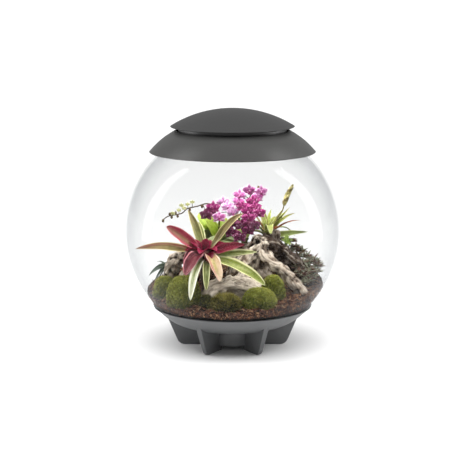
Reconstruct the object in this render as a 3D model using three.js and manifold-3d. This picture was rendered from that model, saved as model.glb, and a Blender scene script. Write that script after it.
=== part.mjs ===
// A planted globe terrarium: a clear ball on a grey stand with six feet, under a grey collar and a domed
// lid that holds a lamp. Inside are soil on a felt mat, driftwood, moss cushions, a striped bromeliad,
// two orchids, a strap-leaved bromeliad with a flower spike, and dark rosette plants.
// Millimetres, +Z up. The origin is on the surface that the feet stand on, below the ball's centre.

import * as THREE from "three";
import { mergeVertices } from "three/addons/utils/BufferGeometryUtils.js";
import Module from "manifold-3d";

const wasm = await Module();
wasm.setup();

// ---- driving dimensions ----
const turnSegments = 24; // facets round every turned piece
const gap = 0.4; // clearance between pieces that rest on each other

const ballRadius = 250;
const ballCentreZ = 267;
const ballWall = 5;
const mouthRadius = 150;
const standRimZ = 95; // where the stand's rim meets the ball
const rimLip = 3;
const flatRadius = 156.4; // inside this radius the ball's underside flattens
const ballFloorZ = 48;
const flatPower = 5.2;

const standWall = 3.5;
const standRimHeight = 2;
const hubRadius = 68;
const hubBottomZ = 10;
const hubEdge = 3; // bevel round the hub's underside
const footCount = 6;
const footThickness = 13;
const footTaper = 0.75; // thickness at the floor, as a share of that at the top
const footSlope = 0.42; // how far the outer edge runs in for each millimetre down
const footTopRadius = 155;
const footInnerRadius = 57;
const footCornerRadius = 20;
const footCornerHeight = 14.4;

const collarRimRadius = 191;
const collarRimZ = 455;
const collarTopRadius = 132;
const collarTopZ = 503;
const collarWall = 3.6;
const collarBulge = 3.6;
const lipDepth = 9;
const shelfThickness = 4;
const shelfBoreRadius = 110;
const lipWall = 3;
const lipClearance = 1.2; // between the collar's lip and the edge of the ball's mouth

const lidRadius = 143;
const lidRimZ = 512.5;
const lidHeight = 41;
const lidWall = 3.6;
const trayRadius = 124;
const trayWall = 3;
const ledgeWidth = 14; // the tray's inner ledge, which the circuit board lies on
const lensRadius = 96;
const lensDrop = 3; // how far the diffuser stands out below the tray
const flangeWidth = 8;
const boardThickness = 2;

const inletZ = 482;
const inletRadius = 6;
const inletWall = 2.5;
const inletBack = 146; // distances of the socket's ends from the upright axis
const inletFront = 172;

const matThickness = 3;
const matTopZ = 104;
const matClearance = 1;
const soilLevel = 134;
const soilRadius = 200;
const soilMound = 8;
const soilRiseBack = 0.12; // the slope towards the back, and towards the right
const soilRiseRight = 0.05;

// How far each root reaches below the foot of its plant, or below the soil's surface.
const bromeliadRoot = 14;
const rootstockDepth = 16;
const rosetteRoot = 10;
const creeperRoot = 18;

// ---- colours and finishes ----
const finish = (color, roughness, metalness = 0) =>
  new THREE.MeshStandardMaterial({ color, roughness, metalness });

const materials = {
  acrylic: finish(0xf4f8f8, 0.03),
  greyPlastic: finish(0x5f5f5d, 0.38),
  standPlastic: finish(0x6b6b6b, 0.45),
  darkPlastic: finish(0x1d1d1e, 0.5),
  diffuser: finish(0xf4f4ee, 0.3),
  circuit: finish(0xe9eae6, 0.5),
  felt: finish(0x17130f, 0.95),
  soil: finish(0x5b3526, 0.95),
  wood: finish(0x9a8b7e, 0.85),
  moss: finish(0x667f2e, 0.95),
  bromeliad: finish(0x8f3b44, 0.4),
  orchidLeaf: finish(0x8fb03a, 0.4),
  orchidStem: finish(0x4a3a2c, 0.6),
  petal: finish(0xb42b97, 0.5),
  strapLeaf: finish(0xa3ac55, 0.45),
  spike: finish(0xa89a3c, 0.5),
  rosette: finish(0x4c5546, 0.5),
  leafGreen: finish(0x6f9a3c, 0.5),
};
Object.assign(materials.acrylic, { transparent: true, opacity: 0.2 });

// ---- solids: three.js meshes joined and cut ----
function solidOf(geometry) {
  const loose = geometry.index ? geometry.toNonIndexed() : geometry;
  const bare = new THREE.BufferGeometry().setAttribute("position", loose.getAttribute("position"));
  const merged = mergeVertices(bare, 1e-3);
  return new wasm.Manifold(
    new wasm.Mesh({
      numProp: 3,
      vertProperties: new Float32Array(merged.attributes.position.array),
      triVerts: new Uint32Array(merged.index.array),
    })
  );
}

function geometryOf(solid) {
  const mesh = solid.getMesh();
  const positions = new Float32Array(mesh.numVert * 3);
  for (let i = 0; i < mesh.numVert; i++) {
    positions.set(mesh.vertProperties.subarray(i * mesh.numProp, i * mesh.numProp + 3), i * 3);
  }
  const geometry = new THREE.BufferGeometry();
  geometry.setAttribute("position", new THREE.BufferAttribute(positions, 3));
  geometry.setIndex(new THREE.BufferAttribute(new Uint32Array(mesh.triVerts), 1));
  return geometry;
}

// The largest body of a solid: what a join or a cut leaves besides it is a scrap.
const mainBody = (solid) => solid.decompose().sort((a, b) => b.volume() - a.volume())[0];

const join = (geometries) => mainBody(geometries.map(solidOf).reduce((a, b) => a.add(b)));

// ---- shape helpers ----
const vector = (x, y, z) => new THREE.Vector3(x, y, z);
const degrees = Math.PI / 180;
const up = vector(0, 0, 1);

// A profile of [radius, height] pairs turned about the upright axis.
function turned(profile, segments = turnSegments) {
  const points = profile.map(([r, z]) => new THREE.Vector2(Math.max(r, 0), z));
  return new THREE.LatheGeometry(points, segments).rotateX(Math.PI / 2);
}

// Each point of an open profile moved to its left by distance.
function offset(profile, distance) {
  return profile.map(([r, z], i) => {
    const [r0, z0] = profile[Math.max(i - 1, 0)];
    const [r1, z1] = profile[Math.min(i + 1, profile.length - 1)];
    const length = Math.hypot(r1 - r0, z1 - z0);
    return [r < 1e-6 ? 0 : r - ((z1 - z0) / length) * distance, z + ((r1 - r0) / length) * distance];
  });
}

// A closed sheet of even thickness over surface(along, across), where along runs 0 to 1 and across -1 to 1.
// Both faces are split into triangles alike, so a waved sheet doesn't cross itself.
function sheet(surface, alongSteps, acrossSteps, thickness) {
  const rows = [];
  const point = (i, j) => surface(i / alongSteps, -1 + (2 * j) / acrossSteps);
  for (let i = 0; i <= alongSteps; i++) {
    rows.push([]);
    for (let j = 0; j <= acrossSteps; j++) rows[i].push(point(i, j));
  }
  const faces = [[], []];
  for (let i = 0; i <= alongSteps; i++) {
    for (let j = 0; j <= acrossSteps; j++) {
      const along = rows[Math.min(i + 1, alongSteps)][j].clone().sub(rows[Math.max(i - 1, 0)][j]);
      const across = rows[i][Math.min(j + 1, acrossSteps)].clone().sub(rows[i][Math.max(j - 1, 0)]);
      const normal = along.cross(across).normalize().multiplyScalar(thickness / 2);
      faces[0].push(rows[i][j].clone().add(normal));
      faces[1].push(rows[i][j].clone().sub(normal));
    }
  }
  const width = acrossSteps + 1;
  const count = faces[0].length;
  const index = [];
  const at = (i, j, side) => i * width + j + side * count;
  for (let i = 0; i < alongSteps; i++) {
    for (let j = 0; j < acrossSteps; j++) {
      index.push(at(i, j, 0), at(i + 1, j, 0), at(i + 1, j + 1, 0));
      index.push(at(i, j, 0), at(i + 1, j + 1, 0), at(i, j + 1, 0));
      index.push(at(i, j, 1), at(i + 1, j + 1, 1), at(i + 1, j, 1));
      index.push(at(i, j, 1), at(i, j + 1, 1), at(i + 1, j + 1, 1));
    }
  }
  const edge = [];
  for (let i = 0; i < alongSteps; i++) edge.push([i, 0]);
  for (let j = 0; j < acrossSteps; j++) edge.push([alongSteps, j]);
  for (let i = alongSteps; i > 0; i--) edge.push([i, acrossSteps]);
  for (let j = acrossSteps; j > 0; j--) edge.push([0, j]);
  edge.forEach(([i, j], k) => {
    const [m, n] = edge[(k + 1) % edge.length];
    index.push(at(i, j, 0), at(i, j, 1), at(m, n, 1));
    index.push(at(i, j, 0), at(m, n, 1), at(m, n, 0));
  });
  const geometry = new THREE.BufferGeometry().setFromPoints([...faces[0], ...faces[1]]);
  geometry.setIndex(index);
  return geometry;
}

// Rings of points joined into a closed body, each end shut by a fan.
function lofted(rings) {
  const sides = rings[0].length;
  const middle = (ring) => ring.reduce((a, b) => a.clone().add(b), vector(0, 0, 0)).divideScalar(sides);
  const points = [...rings.flat(), middle(rings[0]), middle(rings.at(-1))];
  const index = [];
  for (let i = 0; i < rings.length - 1; i++) {
    for (let j = 0; j < sides; j++) {
      const a = i * sides + j;
      const b = i * sides + ((j + 1) % sides);
      index.push(a, b, b + sides, a, b + sides, a + sides);
    }
  }
  const last = (rings.length - 1) * sides;
  const [startMiddle, endMiddle] = [points.length - 2, points.length - 1];
  for (let j = 0; j < sides; j++) {
    const next = (j + 1) % sides;
    index.push(startMiddle, next, j, endMiddle, last + j, last + next);
  }
  const geometry = new THREE.BufferGeometry().setFromPoints(points);
  geometry.setIndex(index);
  return geometry;
}

// A round-ended rod along a curve, its radius given by radiusAt(along, angle).
function rod(points, radiusAt, steps, sides) {
  const curve = new THREE.CatmullRomCurve3(points.map(([x, y, z]) => vector(x, y, z)));
  const frames = curve.computeFrenetFrames(steps, false);
  const rings = [];
  for (let i = 0; i <= steps; i++) {
    const centre = curve.getPointAt(i / steps);
    const ring = [];
    for (let j = 0; j < sides; j++) {
      const angle = (2 * Math.PI * j) / sides;
      const radius = radiusAt(i / steps, angle);
      ring.push(
        centre
          .clone()
          .addScaledVector(frames.normals[i], Math.cos(angle) * radius)
          .addScaledVector(frames.binormals[i], Math.sin(angle) * radius)
      );
    }
    rings.push(ring);
  }
  return lofted(rings);
}

const stem = (points, radius, steps, sides = 6) =>
  rod(points, (along) => radius * (1 - 0.35 * along), steps, sides);

// ---- the ball, and the profiles that nest in and under it ----
const angleAt = (z) => Math.acos((z - ballCentreZ) / ballRadius);
const onBall = (angle) => [ballRadius * Math.sin(angle), ballCentreZ + ballRadius * Math.cos(angle)];
const mouthAngle = Math.asin(mouthRadius / ballRadius);
const shoulderAngle = angleAt(standRimZ + 4.5);
const flatAngle = Math.PI - Math.asin(flatRadius / ballRadius);
const flatEdgeZ = onBall(flatAngle)[1];
const ballSteps = 7;

const onFloor = (radius) => [
  radius,
  ballFloorZ + (flatEdgeZ - ballFloorZ) * (radius / flatRadius) ** flatPower,
];
const upperProfile = Array.from({ length: ballSteps + 1 }, (_, i) =>
  onBall(mouthAngle + ((shoulderAngle - mouthAngle) * i) / ballSteps)
);
const lowerProfile = [
  onBall(angleAt(standRimZ)),
  onBall(flatAngle),
  ...[0.8, 0.5, 0].map((share) => onFloor(flatRadius * share)),
];
const rimIndex = upperProfile.length;

// The ball's and the stand's common outline, moved in by depth. Below the rim the stand's outside carries
// on the ball's curve, so there the ball itself is set in by the thickness of the stand.
const nested = (depth) => offset([...upperProfile, ...lowerProfile], -depth);
const inset = standWall + gap;
const within = (depth) => [...nested(depth).slice(0, rimIndex), ...nested(inset + depth).slice(rimIndex)];

function radiusAt(profile, z) {
  const k = profile.findIndex(([, height]) => height < z);
  const [r0, z0] = profile[k - 1];
  const [r1, z1] = profile[k];
  return r0 + ((z - z0) / (z1 - z0)) * (r1 - r0);
}

const glassBall = () => turned([...within(0).reverse(), ...within(ballWall)]);

// ---- stand ----
function stand() {
  const skin = nested(0).slice(rimIndex);
  const seat = nested(standWall).slice(rimIndex);
  const wellRadius = hubRadius - standWall;
  const [rimRadius, rimZ] = skin[0];
  const dish = turned([
    [0, hubBottomZ],
    [hubRadius - hubEdge, hubBottomZ],
    [hubRadius, hubBottomZ + hubEdge],
    [hubRadius, onFloor(hubRadius)[1]],
    ...skin.filter(([r]) => r > hubRadius).reverse(),
    [rimRadius + rimLip, rimZ],
    [rimRadius + rimLip, rimZ + standRimHeight],
    ...seat.filter(([r]) => r > wellRadius),
    [wellRadius, onFloor(wellRadius)[1] + standWall],
    [wellRadius, hubBottomZ + standWall],
    [0, hubBottomZ + standWall],
  ]);
  let body = solidOf(dish);
  for (let i = 0; i < footCount; i++) body = body.add(solidOf(foot(((i + 0.5) * 360) / footCount)));
  return body;
}

// One radial fin: upright, tapering in and down to a rounded toe, its top edge sunk in the dish's wall.
function foot(azimuth) {
  const sunk = standWall / 2;
  const top = nested(sunk).slice(rimIndex + 1);
  const toeRadius = footTopRadius - (top[0][1] - footCornerHeight) * footSlope;
  const outline = new THREE.Shape();
  outline.moveTo(footInnerRadius, 0);
  outline.lineTo(footInnerRadius, hubBottomZ + sunk);
  outline.lineTo(hubRadius - sunk, hubBottomZ + sunk);
  for (const [r, z] of top.filter(([r]) => r > hubRadius).reverse()) outline.lineTo(r, z);
  outline.lineTo(toeRadius, footCornerHeight);
  outline.quadraticCurveTo(toeRadius - footCornerRadius / 4, 0, toeRadius - footCornerRadius, 0);
  outline.closePath();
  const extrusion = { depth: footThickness, bevelEnabled: false, curveSegments: 3 };
  const fin = new THREE.ExtrudeGeometry(outline, extrusion);
  fin.translate(0, 0, -footThickness / 2);
  const position = fin.getAttribute("position");
  for (let i = 0; i < position.count; i++) {
    const share = footTaper + ((1 - footTaper) * position.getY(i)) / top[0][1];
    position.setZ(i, position.getZ(i) * share);
  }
  fin.rotateX(Math.PI / 2);
  return fin.rotateZ(azimuth * degrees - Math.PI / 2);
}

// ---- collar, lid and lamp ----
const mouthZ = upperProfile[0][1];
const shelfZ = mouthZ + gap;

// The collar's outer skin, from its rim to its top, swelling a little between them.
function collarSkin(t) {
  const [run, climb] = [collarTopRadius - collarRimRadius, collarTopZ - collarRimZ];
  const swell = (Math.sin(Math.PI * t) * collarBulge) / Math.hypot(run, climb);
  return [collarRimRadius + run * t + climb * swell, collarRimZ + climb * t - run * swell];
}

function collar() {
  const outside = [0, 0.3, 0.65, 1].map(collarSkin);
  const inside = offset(outside, collarWall);
  const shelfTop = shelfZ + shelfThickness;
  const insideAt = (z) => {
    const k = inside.findIndex(([, height]) => height > z);
    const [r0, z0] = inside[k - 1];
    const [r1, z1] = inside[k];
    return r0 + ((z - z0) / (z1 - z0)) * (r1 - r0);
  };
  const lipRadius = within(ballWall)[0][0] - lipClearance;
  return turned([
    ...outside,
    [collarTopRadius - collarWall - 2, collarTopZ],
    inside[2],
    [insideAt(shelfTop), shelfTop],
    [shelfBoreRadius, shelfTop],
    [shelfBoreRadius, shelfZ],
    [lipRadius - lipWall, shelfZ],
    [lipRadius - lipWall, shelfZ - lipDepth],
    [lipRadius, shelfZ - lipDepth],
    [lipRadius, shelfZ],
    [insideAt(shelfZ), shelfZ],
    inside[0],
    outside[0],
  ]);
}

const domeRadius = (lidRadius ** 2 + lidHeight ** 2) / (2 * lidHeight);
const domeZ = (r) => lidRimZ + lidHeight - domeRadius + Math.sqrt(domeRadius ** 2 - r ** 2);

function lid() {
  const radii = [0, 0.34, 0.64, 0.87].map((k) => k * lidRadius);
  return turned([
    ...radii.map((r) => [r, domeZ(r) - lidWall]),
    [lidRadius - lidWall, lidRimZ - lidWall / 2],
    [lidRadius, lidRimZ],
    ...radii.slice().reverse().map((r) => [r, domeZ(r)]),
  ]);
}

const trayZ = shelfZ + shelfThickness + gap;
const trayTopZ = domeZ(trayRadius) - lidWall - 1.4 * gap;
const boardZ = trayZ + 12;

// The tray stands on the collar's shelf, and the lid rests on its upper edge.
function lampTray() {
  return turned([
    [lensRadius, trayZ],
    [trayRadius, trayZ],
    [trayRadius, trayTopZ],
    [trayRadius - trayWall, trayTopZ],
    [trayRadius - trayWall, boardZ - gap],
    [trayRadius - ledgeWidth, boardZ - gap],
    [trayRadius - ledgeWidth, trayZ + trayWall],
    [lensRadius, trayZ + trayWall],
    [lensRadius, trayZ],
  ]);
}

function lampDiffuser() {
  const flangeZ = trayZ + trayWall + gap;
  const lensEdge = lensRadius - 2 * gap;
  return turned([
    [0, trayZ - lensDrop],
    [lensEdge - 2 * lensDrop, trayZ - lensDrop],
    [lensEdge, trayZ],
    [lensEdge, flangeZ],
    [lensEdge + flangeWidth, flangeZ],
    [lensEdge + flangeWidth, flangeZ + boardThickness],
    [0, flangeZ + boardThickness],
  ]);
}

function ledBoard() {
  const edge = trayRadius - trayWall - 2 * gap;
  return turned([
    [0, boardZ],
    [edge, boardZ],
    [edge, boardZ + boardThickness],
    [0, boardZ + boardThickness],
  ]);
}

// The low-voltage socket at the back, in a hole through the collar's skin.
function inletCylinder(radius, from, to) {
  const cylinder = new THREE.CylinderGeometry(radius, radius, to - from, 12);
  cylinder.translate(0, (from + to) / 2, inletZ);
  return cylinder;
}

function powerInlet() {
  const boreDepth = 18;
  const pinRadius = 1;
  return solidOf(inletCylinder(inletRadius, inletBack, inletFront))
    .subtract(solidOf(inletCylinder(inletRadius - inletWall, inletFront - boreDepth, inletFront + 1)))
    .add(solidOf(inletCylinder(pinRadius, inletBack + 1, inletFront - boreDepth / 4)));
}

// ---- soil and mat ----
function feltMat() {
  const low = within(ballWall + gap);
  const high = within(ballWall + gap + matThickness).slice(rimIndex);
  const topRadius = radiusAt(low, matTopZ);
  return turned([
    ...low.slice(rimIndex - 1).reverse(),
    [topRadius, matTopZ],
    [topRadius - matThickness - matClearance, matTopZ],
    ...high,
  ]);
}

const lump = (x, y) =>
  3.2 * Math.sin(x / 14 + 1.3) * Math.cos(y / 11 - 0.4) + 1.8 * Math.sin(x / 5.5 - y / 7);

// The soil's top: low at the front, rising to the back and the right, with a low mound in the middle.
function soilHeight(x, y) {
  const r = Math.hypot(x, y);
  const mound = soilMound * (1 - (r / soilRadius) ** 2);
  const evening = Math.min(1, (soilRadius + 15 - r) / 60); // the lumps fade out towards the ball's wall
  return soilLevel + soilRiseBack * y + soilRiseRight * x + mound + lump(x, y) * evening;
}

function soil() {
  const wall = within(ballWall + gap);
  const bed = within(ballWall + 2 * gap + matThickness).slice(rimIndex);
  const topRings = 7;
  const wallRadius = (z) => radiusAt(wall, z) - gap;
  const floorRings = bed.slice(0, -1).reverse();
  floorRings.push([wallRadius(matTopZ + gap) - matThickness - matClearance, matTopZ + gap]);
  floorRings.push([wallRadius(matTopZ + gap), matTopZ + gap]);
  const rings = floorRings.map(([r, z]) => () => [r, z]);
  // The edge of the soil climbs the ball's wall with the slope of its top.
  const edgeOf = (direction) => {
    let r = soilRadius;
    for (let i = 0; i < 6; i++) r = wallRadius(soilHeight(direction.x * r, direction.y * r));
    return r;
  };
  for (let i = 0; i < topRings; i++) {
    rings.push((direction) => {
      const r = edgeOf(direction) * (1 - i / topRings);
      return [r, soilHeight(direction.x * r, direction.y * r)];
    });
  }
  const points = [vector(0, 0, bed.at(-1)[1])];
  for (const ring of rings) {
    for (let j = 0; j < turnSegments; j++) {
      const angle = (2 * Math.PI * j) / turnSegments;
      const direction = vector(Math.sin(angle), -Math.cos(angle), 0);
      const [r, z] = ring(direction);
      points.push(vector(direction.x * r, direction.y * r, z));
    }
  }
  points.push(vector(0, 0, soilHeight(0, 0)));
  const index = [];
  const at = (ring, j) => 1 + ring * turnSegments + (j % turnSegments);
  for (let j = 0; j < turnSegments; j++) {
    index.push(0, at(0, j + 1), at(0, j));
    index.push(points.length - 1, at(rings.length - 1, j), at(rings.length - 1, j + 1));
    for (let i = 0; i < rings.length - 1; i++) {
      index.push(at(i, j), at(i, j + 1), at(i + 1, j + 1), at(i, j), at(i + 1, j + 1), at(i + 1, j));
    }
  }
  const geometry = new THREE.BufferGeometry().setFromPoints(points);
  geometry.setIndex(index);
  return geometry;
}

// ---- driftwood ----
// A weathered limb: its section swells into ridges that wind slowly round it.
function limb({ points, from, to, ridge = 0.17, twist = 2, steps = 5, sides = 9, phase = 0 }) {
  const radiusAt = (along, angle) => {
    const radius = from + (to - from) * along;
    const ridges = Math.sin(3 * angle + twist * along + phase) + 0.6 * Math.sin(5 * angle - twist * along);
    const knuckle = 0.1 * Math.sin(along * 9 + phase);
    return radius * (1 + ridge * ridges + knuckle) * (along === 0 || along === 1 ? 0.72 : 1);
  };
  return rod(points, radiusAt, steps, sides);
}

const woodLimbs = {
  main: [
    {
      points: [[62, -8, 112], [56, -6, 170], [60, 2, 215], [68, 8, 262]],
      from: 42, to: 18, steps: 6, sides: 11,
    },
    {
      points: [[66, -4, 232], [84, -20, 218], [114, -42, 190], [150, -58, 148], [168, -66, 124]],
      from: 20, to: 12, phase: 1, steps: 7,
    },
    {
      points: [[70, 16, 228], [100, 24, 218], [140, 24, 186], [182, 22, 134]],
      from: 31, to: 19, phase: 2, sides: 10,
    },
    {
      points: [[94, 24, 222], [102, 30, 246], [104, 32, 267]],
      from: 12, to: 8, phase: 0.5, steps: 3, sides: 8,
    },
    { points: [[64, 0, 226], [30, -14, 212], [4, -34, 184], [-10, -50, 128]], from: 22, to: 16, phase: 3 },
    {
      points: [[62, 14, 220], [20, 30, 216], [-40, 36, 206], [-96, 34, 172], [-120, 30, 116]],
      from: 22, to: 17, phase: 4, steps: 7,
    },
  ],
  front: [
    {
      points: [[-54, -90, 116], [-34, -93, 136], [-4, -90, 142], [28, -86, 139], [60, -78, 118]],
      from: 26, to: 26, ridge: 0.16, steps: 7, sides: 10,
    },
    { points: [[8, -86, 150], [20, -74, 164], [26, -60, 174]], from: 15, to: 10, phase: 2, steps: 2 },
  ],
  left: [
    {
      points: [[-150, 4, 112], [-143, -6, 146], [-136, -10, 180], [-128, -14, 206]],
      from: 24, to: 14, sides: 10,
    },
    {
      points: [[-140, -10, 190], [-120, -10, 206], [-96, -12, 202], [-80, -14, 184]],
      from: 17, to: 11, phase: 2,
    },
  ],
};

// ---- moss ----
const mossCushions = {
  back_left: { at: [-156, -44], size: [26, 24, 36] },
  left: { at: [-106, -104], size: [38, 31, 52] },
  shade: { at: [-58, -130], size: [17, 16, 26] },
  tuft: { at: [-14, -150], size: [31, 20, 23] },
  right: { at: [59, -138], size: [38, 29, 42] },
  under_root: { at: [103, -88], size: [21, 21, 46] },
};

// A rounded cushion whose flat underside lies below the soil's surface.
function mossCushion({ at: [x, y], size: [rx, ry, height] }) {
  const sunk = 14;
  const profile = [[0, 0], [0.94, 0], [1, 0.34], [0.87, 0.66], [0.52, 0.92], [0, 1]];
  const dome = turned(profile, 11);
  const position = dome.getAttribute("position");
  const point = vector(0, 0, 0);
  for (let i = 0; i < position.count; i++) {
    point.fromBufferAttribute(position, i);
    const bump = 1 + 0.07 * Math.sin(5 * point.x + x) * Math.cos(4 * point.y + y);
    point.multiply(vector(rx, ry, height + sunk)).multiplyScalar(bump);
    position.setXYZ(i, ...point.add(vector(x, y, soilHeight(x, y) - sunk)));
  }
  return dome;
}

// ---- leaves ----
const leafForms = {
  strap: (t) => Math.min(1, 0.62 + 0.8 * t) * Math.sqrt(Math.max(0, 1 - t ** 5)),
  lance: (t) => Math.min(1, 0.5 + 1.4 * t) * Math.max(0, 1 - t ** 2.4),
  oval: (t) => Math.sqrt(Math.max(0, Math.sin(Math.PI * Math.min(0.97, 0.05 + 0.92 * t)))),
};
const tipShare = 0.1; // the blunt end that every leaf keeps, as a share of its width

// A channelled blade that leaves base towards heading, climbs to lift and ends at tip above or below it.
function leaf(base, blade) {
  const { heading, reach, tip, lift, width, bow = 0.5, channel = 0.16 } = blade;
  const { form = "strap", steps = 5, across = 2, thick = 1.4 } = blade;
  const outward = vector(Math.cos(heading * degrees), Math.sin(heading * degrees), 0);
  const side = vector(-outward.y, outward.x, 0);
  const surface = (t, s) => {
    const run = reach * (2 * t * (1 - t) * bow + t * t);
    const rise = 2 * t * (1 - t) * lift + t * t * tip;
    const slope = vector(reach * (bow * (1 - 2 * t) + t), lift * (1 - 2 * t) + t * tip, 0).normalize();
    const half = (width / 2) * Math.max(tipShare, leafForms[form](t));
    const hollow = channel * 2 * half * Math.abs(s) ** 1.6;
    return base
      .clone()
      .addScaledVector(outward, run - slope.y * hollow)
      .addScaledVector(up, rise + slope.x * hollow)
      .addScaledVector(side, s * half);
  };
  return sheet(surface, steps, across, thick);
}

// ---- the striped bromeliad ----
const crown = { x: -62, y: -74, z: 222, radius: 13 };
const trunkFoot = [-62, -64];
const bromeliadLeaves = [
  { heading: 181, reach: 160, tip: 20, lift: 40, width: 17, low: 4 },
  { heading: 160, reach: 92, tip: 64, lift: 46, width: 23, low: 0 },
  { heading: 125, reach: 76, tip: 98, lift: 58, width: 17, low: 2, steps: 4 },
  { heading: 101, reach: 74, tip: 70, lift: 52, width: 16, low: 4, steps: 4 },
  { heading: 18, reach: 97, tip: 82, lift: 121, width: 17, bow: 0.62, low: 2 },
  { heading: -17, reach: 92, tip: 35, lift: 50, width: 20, low: 0, steps: 4 },
  { heading: -26, reach: 136, tip: 20, lift: 32, width: 17, low: 8 },
  { heading: -37, reach: 164, tip: -50, lift: 36, width: 24, bow: 0.56, low: 12, steps: 6 },
  { heading: -66, reach: 92, tip: -36, lift: 14, width: 27, low: 2, steps: 4 },
  { heading: -124, reach: 84, tip: -18, lift: 22, width: 33, low: 0, steps: 4 },
  { heading: -106, reach: 98, tip: -70, lift: 18, width: 20, bow: 0.78, low: 13 },
  { heading: -84, reach: 92, tip: -46, lift: 14, width: 17, bow: 0.72, low: 14 },
  { heading: 60, reach: 84, tip: 44, lift: 50, width: 17, low: 8, steps: 4 },
  { heading: 143, reach: 112, tip: 24, lift: 56, width: 18, low: 12 },
  { heading: 34, reach: 70, tip: 20, lift: 44, width: 18, low: 14, steps: 4 },
  { heading: -158, reach: 74, tip: 14, lift: 26, width: 19, low: 3, steps: 4 },
  { heading: -45, reach: 38, tip: 26, lift: 20, width: 16, low: -6, steps: 2 },
  { heading: -110, reach: 34, tip: 24, lift: 16, width: 16, low: -6, steps: 2 },
  { heading: 170, reach: 28, tip: 40, lift: 26, width: 15, low: -6, steps: 2 },
  { heading: 50, reach: 22, tip: 44, lift: 28, width: 15, low: -6, steps: 2 },
];

function bromeliad() {
  const { x, y, z, radius } = crown;
  const root = [...trunkFoot, soilHeight(...trunkFoot) - bromeliadRoot];
  const trunk = [root, [-62, -66, 165], [x, y, z - 16], [x, y, z + 12]];
  const swell = (t) => 8 + (radius - 8) * Math.min(1, t * 1.4);
  const blades = bromeliadLeaves.map((blade) => {
    const outward = vector(Math.cos(blade.heading * degrees), Math.sin(blade.heading * degrees), 0);
    const inset = radius * 0.6;
    const start = vector(x, y, z - blade.low).addScaledVector(outward, inset);
    return leaf(start, { ...blade, reach: blade.reach - inset });
  });
  return join([rod(trunk, swell, 4, 12), ...blades]);
}

// ---- orchids ----
const orchids = {
  left: {
    foot: [-34, 34, 226],
    leaves: [
      { heading: 150, reach: 62, tip: 44, lift: 46, width: 30 },
      { heading: 195, reach: 40, tip: 40, lift: 30, width: 27 },
      { heading: 60, reach: 70, tip: 20, lift: 44, width: 28 },
      { heading: 110, reach: 80, tip: 10, lift: 40, width: 28 },
    ],
    stems: [
      [[-34, 34, 240.6], [-42, 30, 300], [-60, 28, 331], [-107, 14, 326], [-135, 2, 313], [-159, -8, 300]],
    ],
    buds: [
      [-147, -4, 303], [-130, 6, 322], [-122, 6, 309], [-101, 16, 334], [-86, 18, 319], [-160, -9, 297],
    ],
    blooms: [
      { at: [-45, 10, 322], turn: -10, tilt: 0 },
      { at: [-61, -2, 306], turn: -25, tilt: -5 },
      { at: [-31, 3, 300], turn: 10, tilt: -12 },
      { at: [-22, 24, 332], turn: 15, tilt: 12 },
      { at: [1, 18, 310], turn: 20, tilt: 0 },
    ],
  },
  right: {
    foot: [28, 30, 232],
    leaves: [
      { heading: 20, reach: 36, tip: 46, lift: 40, width: 28 },
      { heading: 100, reach: 74, tip: 24, lift: 46, width: 30 },
      { heading: 70, reach: 62, tip: 40, lift: 40, width: 28 },
    ],
    stems: [
      [[28.8, 31.4, 246.6], [30, 44, 300], [40, 48, 340], [58, 44, 362]],
      [[27.2, 30.6, 246.6], [16, 26, 288], [14, 18, 302], [22, 4, 300], [40, -2, 286]],
    ],
    buds: [[64, 42, 368], [20, 36, 368], [30, 40, 372]],
    blooms: [
      { at: [17, 26, 348], turn: -20, tilt: 5 },
      { at: [39, 30, 360], turn: 0, tilt: 25 },
      { at: [66, 28, 356], turn: 22, tilt: 8 },
      { at: [47, 12, 336], turn: 10, tilt: 0 },
      { at: [24, 8, 324], turn: -12, tilt: 0 },
      { at: [62, 2, 310], turn: 22, tilt: -6 },
      { at: [37, -6, 299], turn: 0, tilt: -8 },
      { at: [3, -6, 287], turn: -24, tilt: -12 },
      { at: [-4, -14, 260], turn: -14, tilt: -20 },
      { at: [36, -16, 272], turn: 14, tilt: -16 },
      { at: [19, -23, 249], turn: 6, tilt: -24 },
    ],
  },
};
const bloomSize = 15.5;
const bloomCore = 2.6;
const budRadius = 3.8;
const bloomBack = 2.3; // from a bloom's middle to the end of its stalk

const polar = (angle, r, y) => vector(r * Math.sin(angle * degrees), y, r * Math.cos(angle * degrees));

// The three sepals of a moth orchid as one thin star, its front drawn out in the middle into the lip.
function sepals() {
  const outline = [0, 120, 240].flatMap((angle) => [
    polar(angle - 60, bloomCore, 0),
    polar(angle - 21, bloomSize * 0.64, 0.8),
    polar(angle, bloomSize, 1.4),
    polar(angle + 21, bloomSize * 0.64, 0.8),
  ]);
  const n = outline.length;
  const throat = outline.map((_, i) => polar(i * 30 - 60, bloomCore * 0.8, -0.6));
  const back = outline.map((point) => point.clone().add(vector(0, 1, 0)));
  const lipTip = vector(0, -7, -4.5);
  const points = [...outline, ...throat, ...back, lipTip, vector(0, 1.4, 0)];
  const index = [];
  for (let j = 0; j < n; j++) {
    const k = (j + 1) % n;
    index.push(j, n + k, k, j, n + j, n + k);
    index.push(n + j, 3 * n, n + k);
    index.push(2 * n + j, 2 * n + k, 3 * n + 1);
    index.push(j, k, 2 * n + k, j, 2 * n + k, 2 * n + j);
  }
  const geometry = new THREE.BufferGeometry().setFromPoints(points);
  geometry.setIndex(index);
  return geometry;
}

// The two broad petals in front, as one sheet from tip to tip.
function petals() {
  const surface = (t, s) => {
    const run = 2 * t - 1;
    const reach = Math.abs(run);
    const neck = bloomCore * 0.4;
    const half = neck + (bloomSize * 0.5 - neck) * Math.sin(0.84 * Math.PI * reach) ** 0.7;
    const tip = bloomSize * 1.04 * reach;
    return vector(
      Math.sign(run) * (tip * 0.95 + s * half * -0.3),
      -1.6 - 1.2 * reach * reach,
      tip * 0.3 + s * half * 0.95
    );
  };
  return sheet(surface, 4, 1, 0.9);
}

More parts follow.
